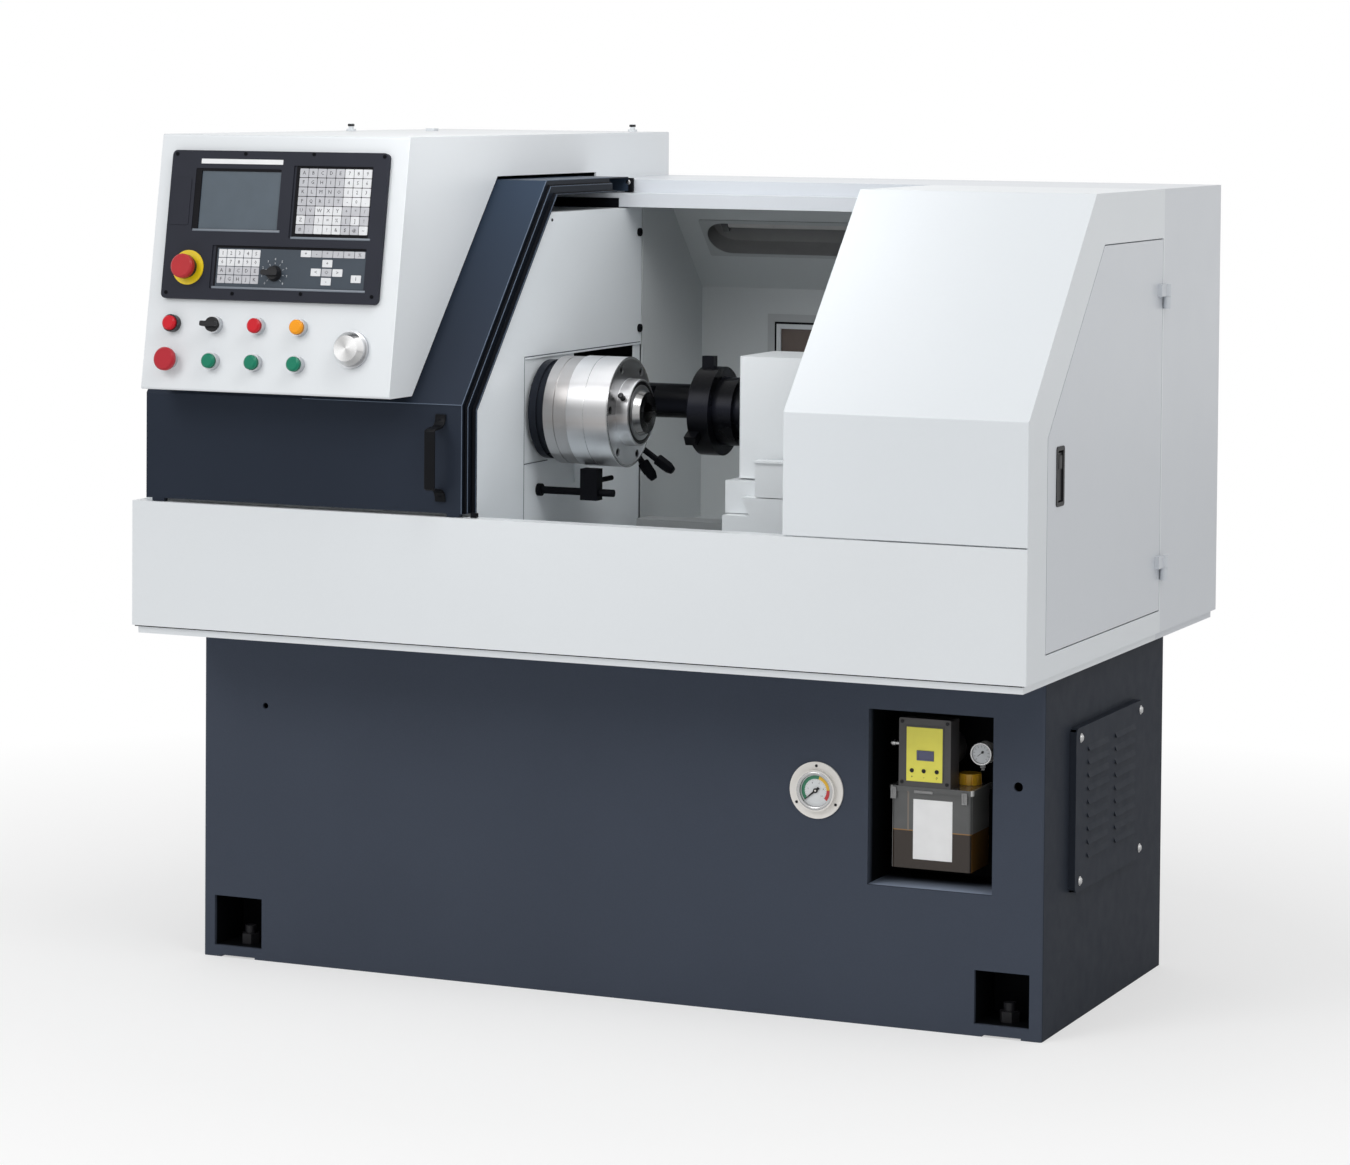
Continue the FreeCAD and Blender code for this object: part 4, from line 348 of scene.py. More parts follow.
def cabinetPaint(colour):  # painted shade makes the inside, seen through the slot over the door, dark; painted light makes the end face lighter
    look = sheetPaint(colour)
    low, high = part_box("control_cabinet")
    wall, front, slotFoot, slotTop = 0.004, 0.14, 1.3, 1.474
    foldFoot, foldTop, endSkin = 0.016, 0.012, 0.0008
    east, north, up = look.axes()
    inside = (east > low[0] + wall) * (east < high[0] - wall) * (north > front) * (north < high[1] - wall)
    fold = (up > high[2] - foldFoot) * (up < high[2] - foldTop)
    look.paint(look.cloudy(colour, 0.97, 1.03, sheetCloud, 3), (fold, tint(colour, 0.93)),
               (east > high[0] - endSkin, tint(colour, 1.12)),
               (inside * (up > slotFoot) * (up < slotTop), (0.006, 0.007, 0.008)))
    return look


def doorPaint(colour):  # the strips beside the opening lie in painted shadow, and a painted bluish sheen grows towards the top of the slant
    look = sheetPaint(colour, rough=0.3, tone=0.12, gloss=0.05, coat=0)
    low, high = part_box("sliding_door")
    stripWide, stripBack, stripTop = 0.0166, 0.03, 0.035
    sheenFrom, sheenDeep, sheenTall = low[2] + 0.19, 0.33, 0.36
    east, north, up = look.axes()
    strip = east > high[0] - stripWide
    jamb = strip * (north < high[1] - stripBack) * (up < high[2] - stripTop)
    sheen = ((north - low[1]) / sheenDeep).clamped() * ((up - sheenFrom) / sheenTall).clamped()
    look.paint(look.cloudy(colour, 0.9, 1.1, sheetCloud, 3), (sheen, (0.034, 0.050, 0.078)),
               (strip * (jamb < 0.5), tint(colour, 0.55)), (jamb, tint(colour, 0.3)))
    return look


def wrinklePaint(colour, rough=0.45, gloss=0.03):  # fine wrinkle enamel of the base, with painted shade in its niche and pockets and painted light on the niche floor
    look = Finish(colour, rough, gloss=gloss)
    grain = look.noise(0.0022)
    shade = (look.noise(0.35, 4) * 0.6 + grain * 0.4).clamped()
    low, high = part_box("base_cabinet")
    sheet, nicheFoot, litTop, litDeep, endSkin = 0.0065, 0.2, 0.2368, 0.09, 0.0005
    east, north, up = look.axes()
    inside = north - (low[1] + sheet)  # behind the front wall
    within = (north < high[1] - sheet) * (abs(east) < high[0] - sheet)
    share = (inside * within * ((up < nicheFoot) * 400 + 60)).clamped()  # painted shade in the niche and foot pockets, darker towards the back
    # painted light on the niche floor, fading back from its front edge
    lit = (1 - inside / litDeep).clamped() * (inside > 0) * (up > nicheFoot) * (up < litTop)
    look.paint(look.mix(shade, tint(colour, 0.86), tint(colour, 1.16)),
               (east > high[0] - endSkin, tint(colour, 0.44)),  # the end and its cover take less light
               (share, (0.0035, 0.004, 0.005)), (lit * within, (0.36, 0.42, 0.54)))
    look.set("Roughness", look.noise(0.03) * 0.16 + (rough - 0.08))
    look.bump(grain, 0.00012)
    return look


def rings(look, base, groove=0.0009, bands=0, first=0, coarse=0.025):  # lathe marks, and painted bands of reflected light about the axis
    look.along, look.radius, look.angle = look.around(base)
    marks = look.node("CombineXYZ", None, {0: look.along, 1: look.radius})
    look.fine, look.broad = (look.node("TexNoise", None, {"Vector": marks, "Scale": scale, "Detail": detail})
                             for scale, detail in ((1 / groove, 3.0), (1 / coarse, 1.0)))
    look.sweep = (look.angle * bands + math.radians(first)).maths("COSINE") * 0.5 + 0.5


def machined(base, colour, rough, bands, first):  # bare steel off a lathe, all but its colour
    look = Finish(colour, rough, metal=1.0)
    rings(look, base, bands=bands, first=first)
    look.set("Roughness", (look.fine * 0.06 + look.broad * 0.06 + (rough - 0.06)).clamped())
    look.bump(look.fine, 0.000002)
    return look


def turnedSteel(base, colour=(0.62, 0.62, 0.61), rough=0.2, bands=0, first=0, spread=0.3):
    look = machined(base, colour, rough, bands, first)
    # painted reflection: the colour follows the bands of light about the axis
    shade = (look.fine * 0.06 + look.broad * 0.14 + look.sweep * 0.8).clamped()
    look.paint(look.mix(shade, tint(colour, 1 - spread), tint(colour, 1 + spread)))
    return look


def drumSteel(base, colour, rough, first):  # the chuck's drum with painted bands of reflected light and shade, its rear ring and its darker ground face
    look = machined(base, colour, rough, 6, first)
    bossRadius, drumLength = 0.0592, 0.0795
    height = look.angle.maths("SINE")
    # painted reflections: lighter and darker bands by height about the axis
    bands = ((0.24, 0.36, 0.95, tint(colour, 0.5)), (-0.15, 0.15, 0.7, (0.40, 0.375, 0.36)),
             (0.85, 0.3, 1, (0.94, 0.95, 0.97)), (-0.7, 0.4, 1, (0.93, 0.95, 0.97)))
    patches = [((1 - abs(height - level) / half).clamped() ** 0.7 * share, paint)
               for level, half, share, paint in bands]
    face = (look.along > 0) * (look.radius > bossRadius)
    look.paint(look.mix(look.sweep, tint(colour, 0.95), tint(colour, 1.1)), *patches,
               (face * (look.broad * 0.2 + 0.72), tint(colour, 0.16)),
               ((look.along < -drumLength) * 0.5, (0.30, 0.275, 0.26)),
               (look.fine * 0.12, tint(colour, 0.6)))
    return look


def blackSteel(base, rough=0.3, bands=0, first=0, sheen=(0.018, 0.021, 0.029)):  # black oxide on steel, with a painted sheen that follows the bands of light
    look = Finish(sheen, rough, metal=0.1, gloss=0.08)
    rings(look, base, 0.0011, bands, first)
    cloud = look.noise(0.05, 3)
    shade = (look.fine * 0.08 + cloud * 0.06 + look.sweep ** 3 * 0.86).clamped()
    look.paint(look.mix(shade, (0.0016, 0.0018, 0.0024), sheen))
    look.set("Roughness", (cloud * 0.2 + (rough - 0.1)).clamped())
    look.bump(look.fine, 0.00001)
    return look


def moulded(colour, rough=0.42, grain=0.0007, depth=0.00003, coat=0.0, gloss=0.4):  # moulded plastic
    look = Finish(colour, rough, coat=coat, gloss=gloss)
    look.paint(look.cloudy(colour, 0.9, 1.12, 0.04))
    look.skin(patch=0.02, least=rough - 0.07, swing=0.14, grain=grain, depth=depth)
    return look


def plated(colour, rough):
    look = Finish(colour, rough, metal=1.0)
    look.paint(look.cloudy(colour, 0.92, 1.05, 0.03))
    look.set("Roughness", look.noise(0.006) * 0.08 + (rough - 0.03))
    return look


def casting(colour, rough=0.5):  # painted casting with a sand cast skin
    look = Finish(colour, rough)
    sand = look.noise(0.003, 3)
    look.paint(look.cloudy(colour, 0.85, 1.12, 0.12, 3))
    look.set("Roughness", sand * 0.2 + (rough - 0.1))
    look.bump(sand, 0.0003)
    return look


def clear(colour, rough, alpha, smoke):
    look = Finish(colour, rough, coat=0.5, coatRough=0.05)
    cloud = look.noise(0.06)
    look.paint(look.mix(cloud, tint(colour, 0.8), tint(colour, 1.2)))
    look.set("Alpha", (cloud * smoke + (alpha - smoke / 2)).clamped())
    look.material.surface_render_method = "BLENDED"
    return look


def tankPlastic(colour):  # clouded plastic with brown oil behind its lower part, and painted light on its side and edges
    look = Finish(colour, 0.2, gloss=0.3, coat=0.3)
    low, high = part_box("oil_tank")
    level, line, skin, sideSkin = 0.064, 0.0009, 0.006, 0.0045  # the oil's height and its line
    east, north, up = look.axes(low)
    side, front = east > high[0] - low[0] - sideSkin, north < skin
    cloud = look.noise(0.05, 3)
    # painted highlights: light stripes along the front's left and right edges, the right one amber below the
    # oil; the last stripe is a faint brownish line
    stripes = ((0.0044, 0.0062, 0, 0.145, (0.50, 0.50, 0.49)),
               (0.1455, 0.1495, level, 0.145, (0.72, 0.72, 0.70)),
               (0.1455, 0.1495, 0.03, level, (0.42, 0.17, 0.02)),
               (0.0324, 0.0354, level, 0.13, (0.20, 0.17, 0.14)))
    look.paint(look.mix(cloud, tint(colour, 0.75), tint(colour, 1.3)), (up < level, (0.034, 0.024, 0.018)),
               ((up > level - line) * (up < level + line), (0.30, 0.16, 0.05)),
               # painted light: the side is lighter, grey above the oil and amber below it where the oil shows
               # through, and its front corner carries a painted highlight
               (side * (up > level), (0.30, 0.30, 0.29)), (side * (up < level), (0.22, 0.11, 0.03)),
               (side * front, (0.62, 0.62, 0.60)),
               *((front * (east > left) * (east < right) * (up > foot) * (up < top), paint)
                 for left, right, foot, top, paint in stripes))
    look.set("Roughness", cloud * 0.15 + 0.12)
    look.bump(look.noise(0.01), 0.00005)
    return look


def collars():  # satin collars; the stop switch sits in a yellow ring and one button in a black one
    look = Finish((0.6, 0.61, 0.63), 0.3)
    stopRing, redRing, lip = 0.032, 0.017, 0.0023
    along, radius, angle = look.around(shifted(panel, *panelSpots["stop"]))
    nearStop = radius < stopRing
    nearRed = look.around(shifted(panel, *panelSpots["red"]))[1] < redRing
    look.paint(look.mix(look.noise(0.004), (0.50, 0.51, 0.53), (0.60, 0.61, 0.63)),
               (nearStop, (0.83, 0.60, 0.008)),
               ((nearStop * (along > lip) + nearRed).clamped(), (0.012, 0.012, 0.016)))
    look.set("Metallic", 1 - (nearStop + nearRed).clamped())
    look.skin(patch=0.01, least=0.28, swing=0.1, grain=0.0012, depth=0.00001)
    return look


def stopHead(colour, neck=0.0152):  # a red head on a black neck
    look = moulded(colour, 0.4, gloss=0.25, coat=0.05)
    along = look.within(shifted(panel, *panelSpots["stop"]))[2]
    look.paint(look.cloudy(colour, 0.92, 1.1, 0.03), (along < neck, (0.010, 0.010, 0.012)))
    return look


def lampPan(rim, pan):  # the frame's corners take the lining's paint, the rest is dark
    look = Finish(rim, 0.45, gloss=0.3)
    centre, halfStraight, radius, frontSkin = (210, 47.5), 0.1625, 0.0455, 0.0012  # the long round mouth
    across, up, along = look.within(shifted(lampFace, *centre))
    past = (abs(across) - halfStraight).maths("MAXIMUM", 0)
    edge = (past * past + up * up) ** 0.5
    lightTop, lightFade = 0.03, 0.07  # the pan's lower side catches light from the opening
    low = ((lightTop - up) / lightFade).clamped()
    look.paint(look.mix(low, tint(pan, 0.15), tint(pan, 1.6)), (look.noise(0.05) * 0.5, tint(pan, 0.8)),
               ((along > -frontSkin) * (edge > radius), rim))
    look.skin(patch=0.02, least=0.4, swing=0.1, grain=0.0016, depth=0.00003)
    return look


def windowFrame(pane, rim, rimWide=0.017):
    look = Finish(pane, 0.3, gloss=0.3, coat=0.2)
    low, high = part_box("back_window")
    east, north, up = look.axes(middle("back_window"))
    edge = ((high[0] - low[0]) / 2 - abs(east)).maths("MINIMUM", (high[2] - low[2]) / 2 - abs(up))
    look.paint(look.cloudy(pane, 0.7, 1.35, 0.07, 4), (edge < rimWide, rim))
    look.skin(patch=0.02, least=0.3, swing=0.1, grain=0.003, depth=0.00003, detail=2)
    return look


def dialPrint(colour, inner=0.0196, outer=0.0256):  # coloured bands printed on the gauge's dial
    look = Finish(colour, 0.3, coat=0.4)
    east, north, up = look.axes(middle("pressure_gauge"))
    radius = (east * east + up * up) ** 0.5
    angle = east.maths("ARCTAN2", up) * (180 / math.pi)  # clockwise from the top
    band = (radius > inner) * (radius < outer)
    arcs = ((-130, 15, (0.01, 0.19, 0.09)), (15, 86, (0.80, 0.47, 0.02)), (86, 130, (0.56, 0.015, 0.02)))
    look.paint(look.cloudy(colour, 0.97, 1.02, 0.01),
               *((band * (angle > first) * (angle < last), paint) for first, last, paint in arcs))
    look.skin(patch=0.02, least=0.25, swing=0.1, grain=0.002, depth=0.00001)
    return look


white = (0.735, 0.765, 0.79)
# painted light: wallWhite is a lighter, bluer copy of the inner white for the walls and cover beside the
# chuck
wallWhite = (0.87, 0.915, 0.95)
navy = (0.025, 0.032, 0.047)
slate = (0.058, 0.069, 0.093)
lining = (0.60, 0.63, 0.64)
button = {"rough": 0.35, "coat": 0.05, "gloss": 0.25}
wheelSteel = {"colour": (0.66, 0.66, 0.66), "bands": 2, "first": -70, "spread": 0.35}
finishes = {  # each finish and the CAD nodes that wear it
    "panelWhite": (sheetPaint(white), "drip_tray"),
    # painted shade: a slightly darker copy of the panels' white
    "hoodWhite": (sheetPaint((0.715, 0.75, 0.78)), "right_hood"),
    "cabinetWhite": (cabinetPaint(white), "control_cabinet"),
    # painted shade: a darker copy of the panels' white
    "rearWhite": (sheetPaint((0.62, 0.65, 0.69)), "rear_cover service_door top_rail"),
    "wallWhite": (sheetPaint(wallWhite, rough=0.45), "headstock_wall headstock_guard"),
    "coverWhite": (coverPaint(wallWhite), "headstock_cover"),
    "linerWhite": (sheetPaint(lining, rough=0.45), "work_area_liner"),
    "doorNavy": (doorPaint(navy), "sliding_door"),
    "baseSlate": (wrinklePaint(slate), "base_cabinet louvre_cover"),
    "headWhite": (sheetPaint((0.74, 0.77, 0.79), rough=0.35), "tool_head cross_slide saddle"),
    "castGrey": (casting((0.42, 0.44, 0.45)), "bed_casting headstock_casting"),
    "chuckSteel": (drumSteel(chuckFront, (0.60, 0.60, 0.61), 0.33, 168), "chuck_body"),
    "colletSteel": (turnedSteel(chuckAxis, (0.30, 0.30, 0.30), 0.24, bands=4, first=60, spread=0.6),
                    "collet"),
    "spindleBlack": (blackSteel(chuckAxis), "spindle_shaft"),
    "discBlack": (blackSteel(discAxis, 0.28, bands=4, first=40, sheen=(0.010, 0.011, 0.017)), "tool_disc"),
    "barBlack": (blackSteel(barAxis, 0.24, bands=3, first=130, sheen=(0.012, 0.013, 0.018)), "boring_bar"),
    "rodSteel": (turnedSteel(screwAxis), "carriage_screw spindle_bearings"),
    "wheelChrome": (turnedSteel(shifted(panel, *panelSpots["wheel"]), **wheelSteel), "handwheel"),
    "plainSteel": (plated((0.50, 0.50, 0.50), 0.25), "spindle_pulley motor_pulley"),
    "collarSatin": (collars(), "button_bezels"),
    "blackPlastic": (moulded((0.012, 0.012, 0.014), gloss=0.25),
                     "latch_body latch_lever selector_lever override_knob spindle_motor feed_motor "
                     "levelling_bolts"),
    "plateDark": (moulded((0.024, 0.026, 0.036), 0.5, 0.0012, 0.00006, gloss=0.12), "control_plate"),
    "bedBlack": (moulded((0.004, 0.004, 0.006), 0.5, gloss=0.1), ""),
    "redPlastic": (moulded((0.56, 0.006, 0.016), **button), "red_button stop_button"),
    "mushroomRed": (moulded((0.42, 0.014, 0.026), 0.4, coat=0.05, gloss=0.25), "mushroom_button"),
    "stopRed": (stopHead((0.44, 0.022, 0.028)), "e_stop_button"),
    "greenPlastic": (moulded((0.002, 0.185, 0.105), **button),
                     "green_button_1 green_button_2 green_button_3"),
    "amberPlastic": (moulded((0.88, 0.33, 0.006), **button), "amber_button"),
    "pumpGrey": (moulded((0.078, 0.076, 0.077), 0.45), "lubricator_head"),
    "capAmber": (moulded((1.0, 0.52, 0.03), 0.3, coat=0.3), "filler_cap"),
    "tankPlastic": (tankPlastic((0.105, 0.107, 0.107)), "oil_tank"),
    "windowSmoke": (windowFrame((0.155, 0.12, 0.105), (0.47, 0.49, 0.50)), "back_window"),
    "screenGlass": (moulded((0.056, 0.080, 0.105), 0.24, coat=0.4), "screen"),
    "lampPan": (lampPan(tint(lining, 0.8), (0.26, 0.26, 0.26)), "work_lamp"),
    "lampTube": (moulded((0.55, 0.54, 0.53), 0.3, coat=0.5), "lamp_tube"),
    "gaugeCream": (sheetPaint((0.80, 0.775, 0.735), rough=0.3), "pressure_gauge lube_gauge"),
    "beltBlack": (moulded((0.02, 0.02, 0.02), 0.7, 0.002, 0.0001), "drive_belt"),
    "needleBlack": (moulded((0.01, 0.01, 0.01), 0.5), "gauge_needle"),
    "screwBlack": (plated((0.035, 0.035, 0.037), 0.35), ""),
    "sealBlack": (moulded((0.0035, 0.004, 0.006), 0.6, gloss=0.08), "coolant_nozzles stop_bracket"),
    "handleBlack": (moulded((0.007, 0.0075, 0.009), 0.35, gloss=0.07), "door_handle"),
    # painted highlight on the door's folds and edges
    "edgeNavy": (moulded((0.10, 0.13, 0.18), 0.35, gloss=0.2), ""),
    "labelWhite": (moulded((0.78, 0.79, 0.80), 0.4, 0.002, 0.00001), ""),
    "paperWhite": (moulded((0.94, 0.94, 0.94), 0.5, 0.002, 0.00001), ""),
    "sillGrey": (sheetPaint((0.155, 0.18, 0.215), rough=0.35, tone=0.08), ""),
    "membraneSlate": (moulded((0.046, 0.060, 0.078), 0.42, 0.001, 0.00002, gloss=0.25), ""),
    "keyWhite": (moulded((0.72, 0.73, 0.75), 0.4, gloss=0.2), ""),
    "keyGrey": (moulded((0.51, 0.515, 0.545), 0.45, gloss=0.2), "keypads"),
    "legendBlack": (moulded((0.02, 0.02, 0.022), 0.5), ""),
    "legendPale": (moulded((0.62, 0.64, 0.67), 0.5), ""),
    "dialFace": (dialPrint((0.72, 0.74, 0.75)), ""),
    "dialPlain": (moulded((0.56, 0.58, 0.60), 0.3), ""),
    "pumpYellow": (moulded((0.90, 0.83, 0.12), 0.35, 0.003, 0.00001), ""),
    "displayBlue": (moulded((0.075, 0.080, 0.16), 0.25, coat=0.5), ""),
    "clipClear": (clear((0.34, 0.34, 0.34), 0.2, 0.7, 0.15), ""),
}


def dress(piece, look):
    piece.data.materials.clear()
    piece.data.materials.append(finishes[look][0].material)


for name, (look, wearers) in finishes.items():
    look.material.name = name
    for wearer in wearers.split():
        dress(nodes[wearer], name)
print("finishes on the metalwork")


# small helpers for modelling

def only(*chosen):
    bpy.ops.object.select_all(action="DESELECT")
    for piece in chosen:
        piece.select_set(True)
    if chosen:
        bpy.context.view_layer.objects.active = chosen[0]


def settle(piece):  # moves a piece's place, turn and size into its mesh
    only(piece)
    bpy.ops.object.transform_apply(location=True, rotation=True, scale=True)
    return piece


def editing(piece):
    only(piece)
    bpy.ops.object.mode_set(mode="EDIT")
    bpy.ops.mesh.select_all(action="SELECT")


def done():
    bpy.ops.object.mode_set(mode="OBJECT")


def turned(name, profile, corners=40):  # rings of (radius, height) in millimetres, drawn out one from another
    radius, height = (value / 1000 for value in profile[0])
    only()
    bpy.ops.mesh.primitive_circle_add(vertices=corners, radius=radius, location=(0, 0, height))
    piece = bpy.context.object
    piece.name = name
    settle(piece)
    editing(piece)
    for wide, high in profile[1:]:
        wide, high = wide / 1000, high / 1000
        bpy.ops.mesh.extrude_edges_move(TRANSFORM_OT_translate={"value": (0, 0, high - height)})
        if wide != radius:
            bpy.ops.transform.resize(value=(wide / radius, wide / radius, 1), center_override=(0, 0, high))
        radius, height = wide, high
    bpy.ops.mesh.select_all(action="SELECT")
    if profile[0] == profile[-1]:
        bpy.ops.mesh.remove_doubles(threshold=0.000001)
    else:
        bpy.ops.mesh.fill_holes(sides=0)
        bpy.ops.mesh.select_all(action="SELECT")
    bpy.ops.mesh.normals_make_consistent(inside=False)
    done()
    return piece


def block(name, foot, size, edge=0.3, segments=1):  # foot is the lowest corner; all in millimetres
    foot, size = Vector(foot) / 1000, Vector(size) / 1000
    only()
    bpy.ops.mesh.primitive_cube_add(size=1, location=foot + size / 2, scale=size)
    piece = settle(bpy.context.object)
    piece.name = name
    editing(piece)
    bpy.ops.mesh.bevel(offset=edge / 1000, segments=segments, affect="EDGES")
    done()
    return piece


def sink(piece, rim, depth):  # insets the top face and lets it in, or raises it
    editing(piece)
    bpy.ops.mesh.select_all(action="DESELECT")
    shape = bmesh.from_edit_mesh(piece.data)
    for face in shape.faces:
        if face.normal.z > 0.99:
            face.select_set(True)
    bmesh.update_edit_mesh(piece.data)
    bpy.ops.mesh.inset(thickness=rim / 1000)
    bpy.ops.mesh.extrude_region_move(TRANSFORM_OT_translate={"value": (0, 0, -depth / 1000)})
    done()
    return piece


def carve(piece, tool):  # takes one piece out of another
    cutter = piece.modifiers.new("cut", "BOOLEAN")
    cutter.object = tool
    cutter.solver = "EXACT"
    only(piece)
    bpy.ops.object.modifier_apply(modifier="cut")
    bpy.data.objects.remove(tool)
    return piece


def together(name, parts):
    only(*parts)
    if len(parts) > 1:
        bpy.ops.object.join()
    piece = bpy.context.object
    piece.name = name
    return settle(piece)


def copies(piece, frames):  # one copy of the piece in each frame, joined under its name
    name = piece.name
    made = []
    for spot in frames:
        twin = added(name, piece.data.copy())
        twin.matrix_world = spot
        made.append(twin)
    bpy.data.objects.remove(piece)
    return together(name, made)


def lettering(name, marks, tall):  # marks are (text, frame); plain capitals, digits and signs
    made = []
    for text, spot in marks:
        only()
        bpy.ops.object.text_add()
        mark = bpy.context.object
        mark.data.body = text
        mark.data.size = tall / 1000
        mark.data.align_x = mark.data.align_y = "CENTER"
        mark.data.resolution_u = 1
        mark.data.extrude = 0.00004
        bpy.ops.object.convert(target="MESH")
        mark.matrix_world = spot
        made.append(mark)
    return together(name, made)


def finish(piece, look, body="frame", slot="black_plastic", smooth=32):
    dress(piece, look)
    only(piece)
    bpy.ops.object.shade_smooth_by_angle(angle=math.radians(smooth))
    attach(piece, body)
    return piece


def fit(piece, frames, *fate, **more):  # copies in frames, finished as one piece
    return finish(copies(piece, frames), *fate, **more)


def domeScrew(name, radius, height):
    return turned(name, [(radius, 0), (radius, height * 0.2), (radius * 0.93, height * 0.5),
                         (radius * 0.7, height * 0.85), (radius * 0.3, height)], 24)


def socketScrew(name, radius, height, socket=0.5):  # a cap screw with a hexagon socket
    head = turned(name, [(radius, 0), (radius, height * 0.86), (radius * 0.88, height)], 24)
    key = turned("key", [(radius * socket, height * 0.4), (radius * socket, height * 1.5)], 6)
    return carve(head, key)


# operator plate

plate = {  # in millimetres from the plate's lower left corner: x, y, width and height
    "screws": ((10, 10), (409, 13), (9, 251), (412, 252), (143.5, 253), (276.5, 254), (140.5, 11), (273, 14)),
    "blank": (58, 235, 160, 8.4),
    "sills": ((51, 117.6, 171), (244, 107.6, 153), (98.5, 19, 297)),
    "membrane": (104, 22, 290, 67.5),
    "beds": ((244.5, 110.5, 151, 123.2), (100, 21.5, 296.5, 72.2)),
    "screenRims": ((49.3, 120.3, 11.2, 106.4), (60, 222.5, 156, 4.2)),
    "fieldDepth": 2.5, "wellDepth": 4,
}


def sunk(name, field, low, deep, edge, rim, depth):  # a thin plate let in at its middle
    x, y, wide, tall = field
    return sink(block(name, (x, y, low), (wide, tall, deep), edge), rim, depth)


def platePieces():
    frames = [shifted(panel, x, y) for x, y in plate["screws"]]
    fit(socketScrew("plateScrews", 3.2, 1.4), frames, "sealBlack", slot="black_steel")
    blank = sunk("plateBlank", plate["blank"], -0.05, 0.6, 0.25, 0.8, 0.12)
    fit(blank, [panel], "labelWhite", slot="key_plastic")
    # painted light: the sills are a lighter grey, as light falls on the floors of the recesses
    sills = [block(f"sill{x}", (x, y, -0.5), (wide, 4.2, 1.1), 0.9, 3) for x, y, wide in plate["sills"]]
    fit(together("plateSills", sills), [panel], "sillGrey", slot="plate_paint")
    floor, well = -plate["fieldDepth"], -plate["wellDepth"]
    beds = [sunk(f"bed{field[0]}", field, floor, 0.4, 0.1, 1, 0.1) for field in plate["beds"]]
    # painted shade: the near black rims stand in for the shaded left and top walls of the screen's recess
    beds += [block(f"rim{x}", (x, y, well), (wide, tall, 3.5)) for x, y, wide, tall in plate["screenRims"]]
    fit(together("plateBeds", beds), [panel], "bedBlack")
    sheet = sunk("plateMembrane", plate["membrane"], floor + 0.2, 0.7, 0.15, 1.2, 0.06)
    fit(sheet, [panel], "membraneSlate", slot="plate_paint")


platePieces()


# key caps and their plain legends

keys = {  # lower left corner, pitch and gap in millimetres on the operator plate; rows run from the top
    "gap": 1.2, "top": -0.7, "deep": 1.8, "legend": 9,
    "letters": {"corner": (252, 117.5), "pitch": (17.4, 16.16),
                "rows": ("ABCDE789", "FGHIJ456", "KLMNO123", "PQRST-0.", "UVWXY+*/", "Z()=%[]!", "#;:?&$@~"),
                "white": (*(".....###",) * 4, "..###...", "#.###.#.", "..###..#")},
    "modes": {"corner": (107.6, 29), "pitch": (16.3, 14.9),
              "rows": ("12345", "67890", "ABCDE", "FGHJK"), "white": ("#####", "#####", ".....", ".....")},
    "strip": {"corner": (266.5, 77.5), "pitch": (20.7, 12.5), "rows": ("+-*/=%",), "white": ("#.....",)},
    "singles": {"size": (20, 14), "places": ((309.3, 45.5, "O", "."), (288.5, 45.5, "<", "#"),
                                             (330, 45.5, ">", "#"), (309.3, 61, "+", "#"),
                                             (309.3, 30.2, "-", "#"), (366.2, 35.8, "I", "#"))},
}


def keySpots():  # each key as x, y, width, height, its legend and its colour's mark
    gap = keys["gap"]
    for name in ("letters", "modes", "strip"):
        field = keys[name]
        (left, foot), (across, up) = field["corner"], field["pitch"]
        for row, (marks, colours) in enumerate(zip(reversed(field["rows"]), reversed(field["white"]))):
            for column, (mark, colour) in enumerate(zip(marks, colours)):
                yield left + column * across, foot + row * up, across - gap, up - gap, mark, colour
    wide, tall = keys["singles"]["size"]
    for x, y, mark, colour in keys["singles"]["places"]:
        yield x, y, wide - gap, tall - gap, mark, colour


def keyPieces():
    top, deep = keys["top"], keys["deep"]
    for name, colour, look in (("keyCapsWhite", "#", "keyWhite"), ("keyCapsGrey", ".", "keyGrey")):
        cap = sink(block(name, (-500, -500, 0), (1000, 1000, 1000), 45), 60, 70)  # scaled down for each key
        frames = [shifted(panel, x + wide / 2, y + tall / 2, top - deep)
                  @ Matrix.Diagonal((wide / 1000, tall / 1000, deep / 1000, 1))
                  for x, y, wide, tall, mark, shade in keySpots() if shade == colour]
        caps = fit(cap, frames, look, slot="key_plastic")
        if name == "keyCapsWhite":
            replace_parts(caps, "keypads")
    marks = [(mark, shifted(panel, x + wide / 2, y + tall / 2, top - 0.08))
             for x, y, wide, tall, mark, shade in keySpots()]
    finish(lettering("keyLegends", marks, keys["legend"]), "legendBlack")


keyPieces()


# round controls

controls = {"ticks": 9, "angles": (225, -45), "tickAt": 17.5, "digitAt": 24.5, "digit": 5.5}


def controlPieces():
    knob = shifted(panel, *panelSpots["knob"], 0.95 - plate["fieldDepth"])  # the membrane's face under it
    angles = evenly(*controls["angles"], controls["ticks"])
    frames = [polar(knob, controls["tickAt"], angle) for angle in angles]
    fit(block("knobTicks", (-1.6, -0.3, -0.1), (3.2, 0.6, 0.2), 0.05), frames, "legendPale",
           slot="key_plastic")
    digits = [(str(index), polar(knob, controls["digitAt"], angle, turned=False))
              for index, angle in enumerate(angles)]
    finish(lettering("knobDigits", digits, controls["digit"]), "legendPale", slot="key_plastic")


controlPieces()
print("operator plate, keys and controls")


# pressure gauge

gauge = {  # millimetres and degrees
    "flange": 3, "bezelOut": 11, "dialDepth": 6, "dial": 30.6,
    "screwCircle": 41.5, "screwAngles": (90, 212, 328),
    "angles": (220, -40), "ticks": 27, "tickAt": 18.2, "digits": "0 2 4 6 8 10", "digitAt": 14, "digit": 4.2,
}


def frontOf(name):  # the middle of a node's front
    return facing((middle(name)[0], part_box(name)[0][1], middle(name)[2]), (0, -1, 0))


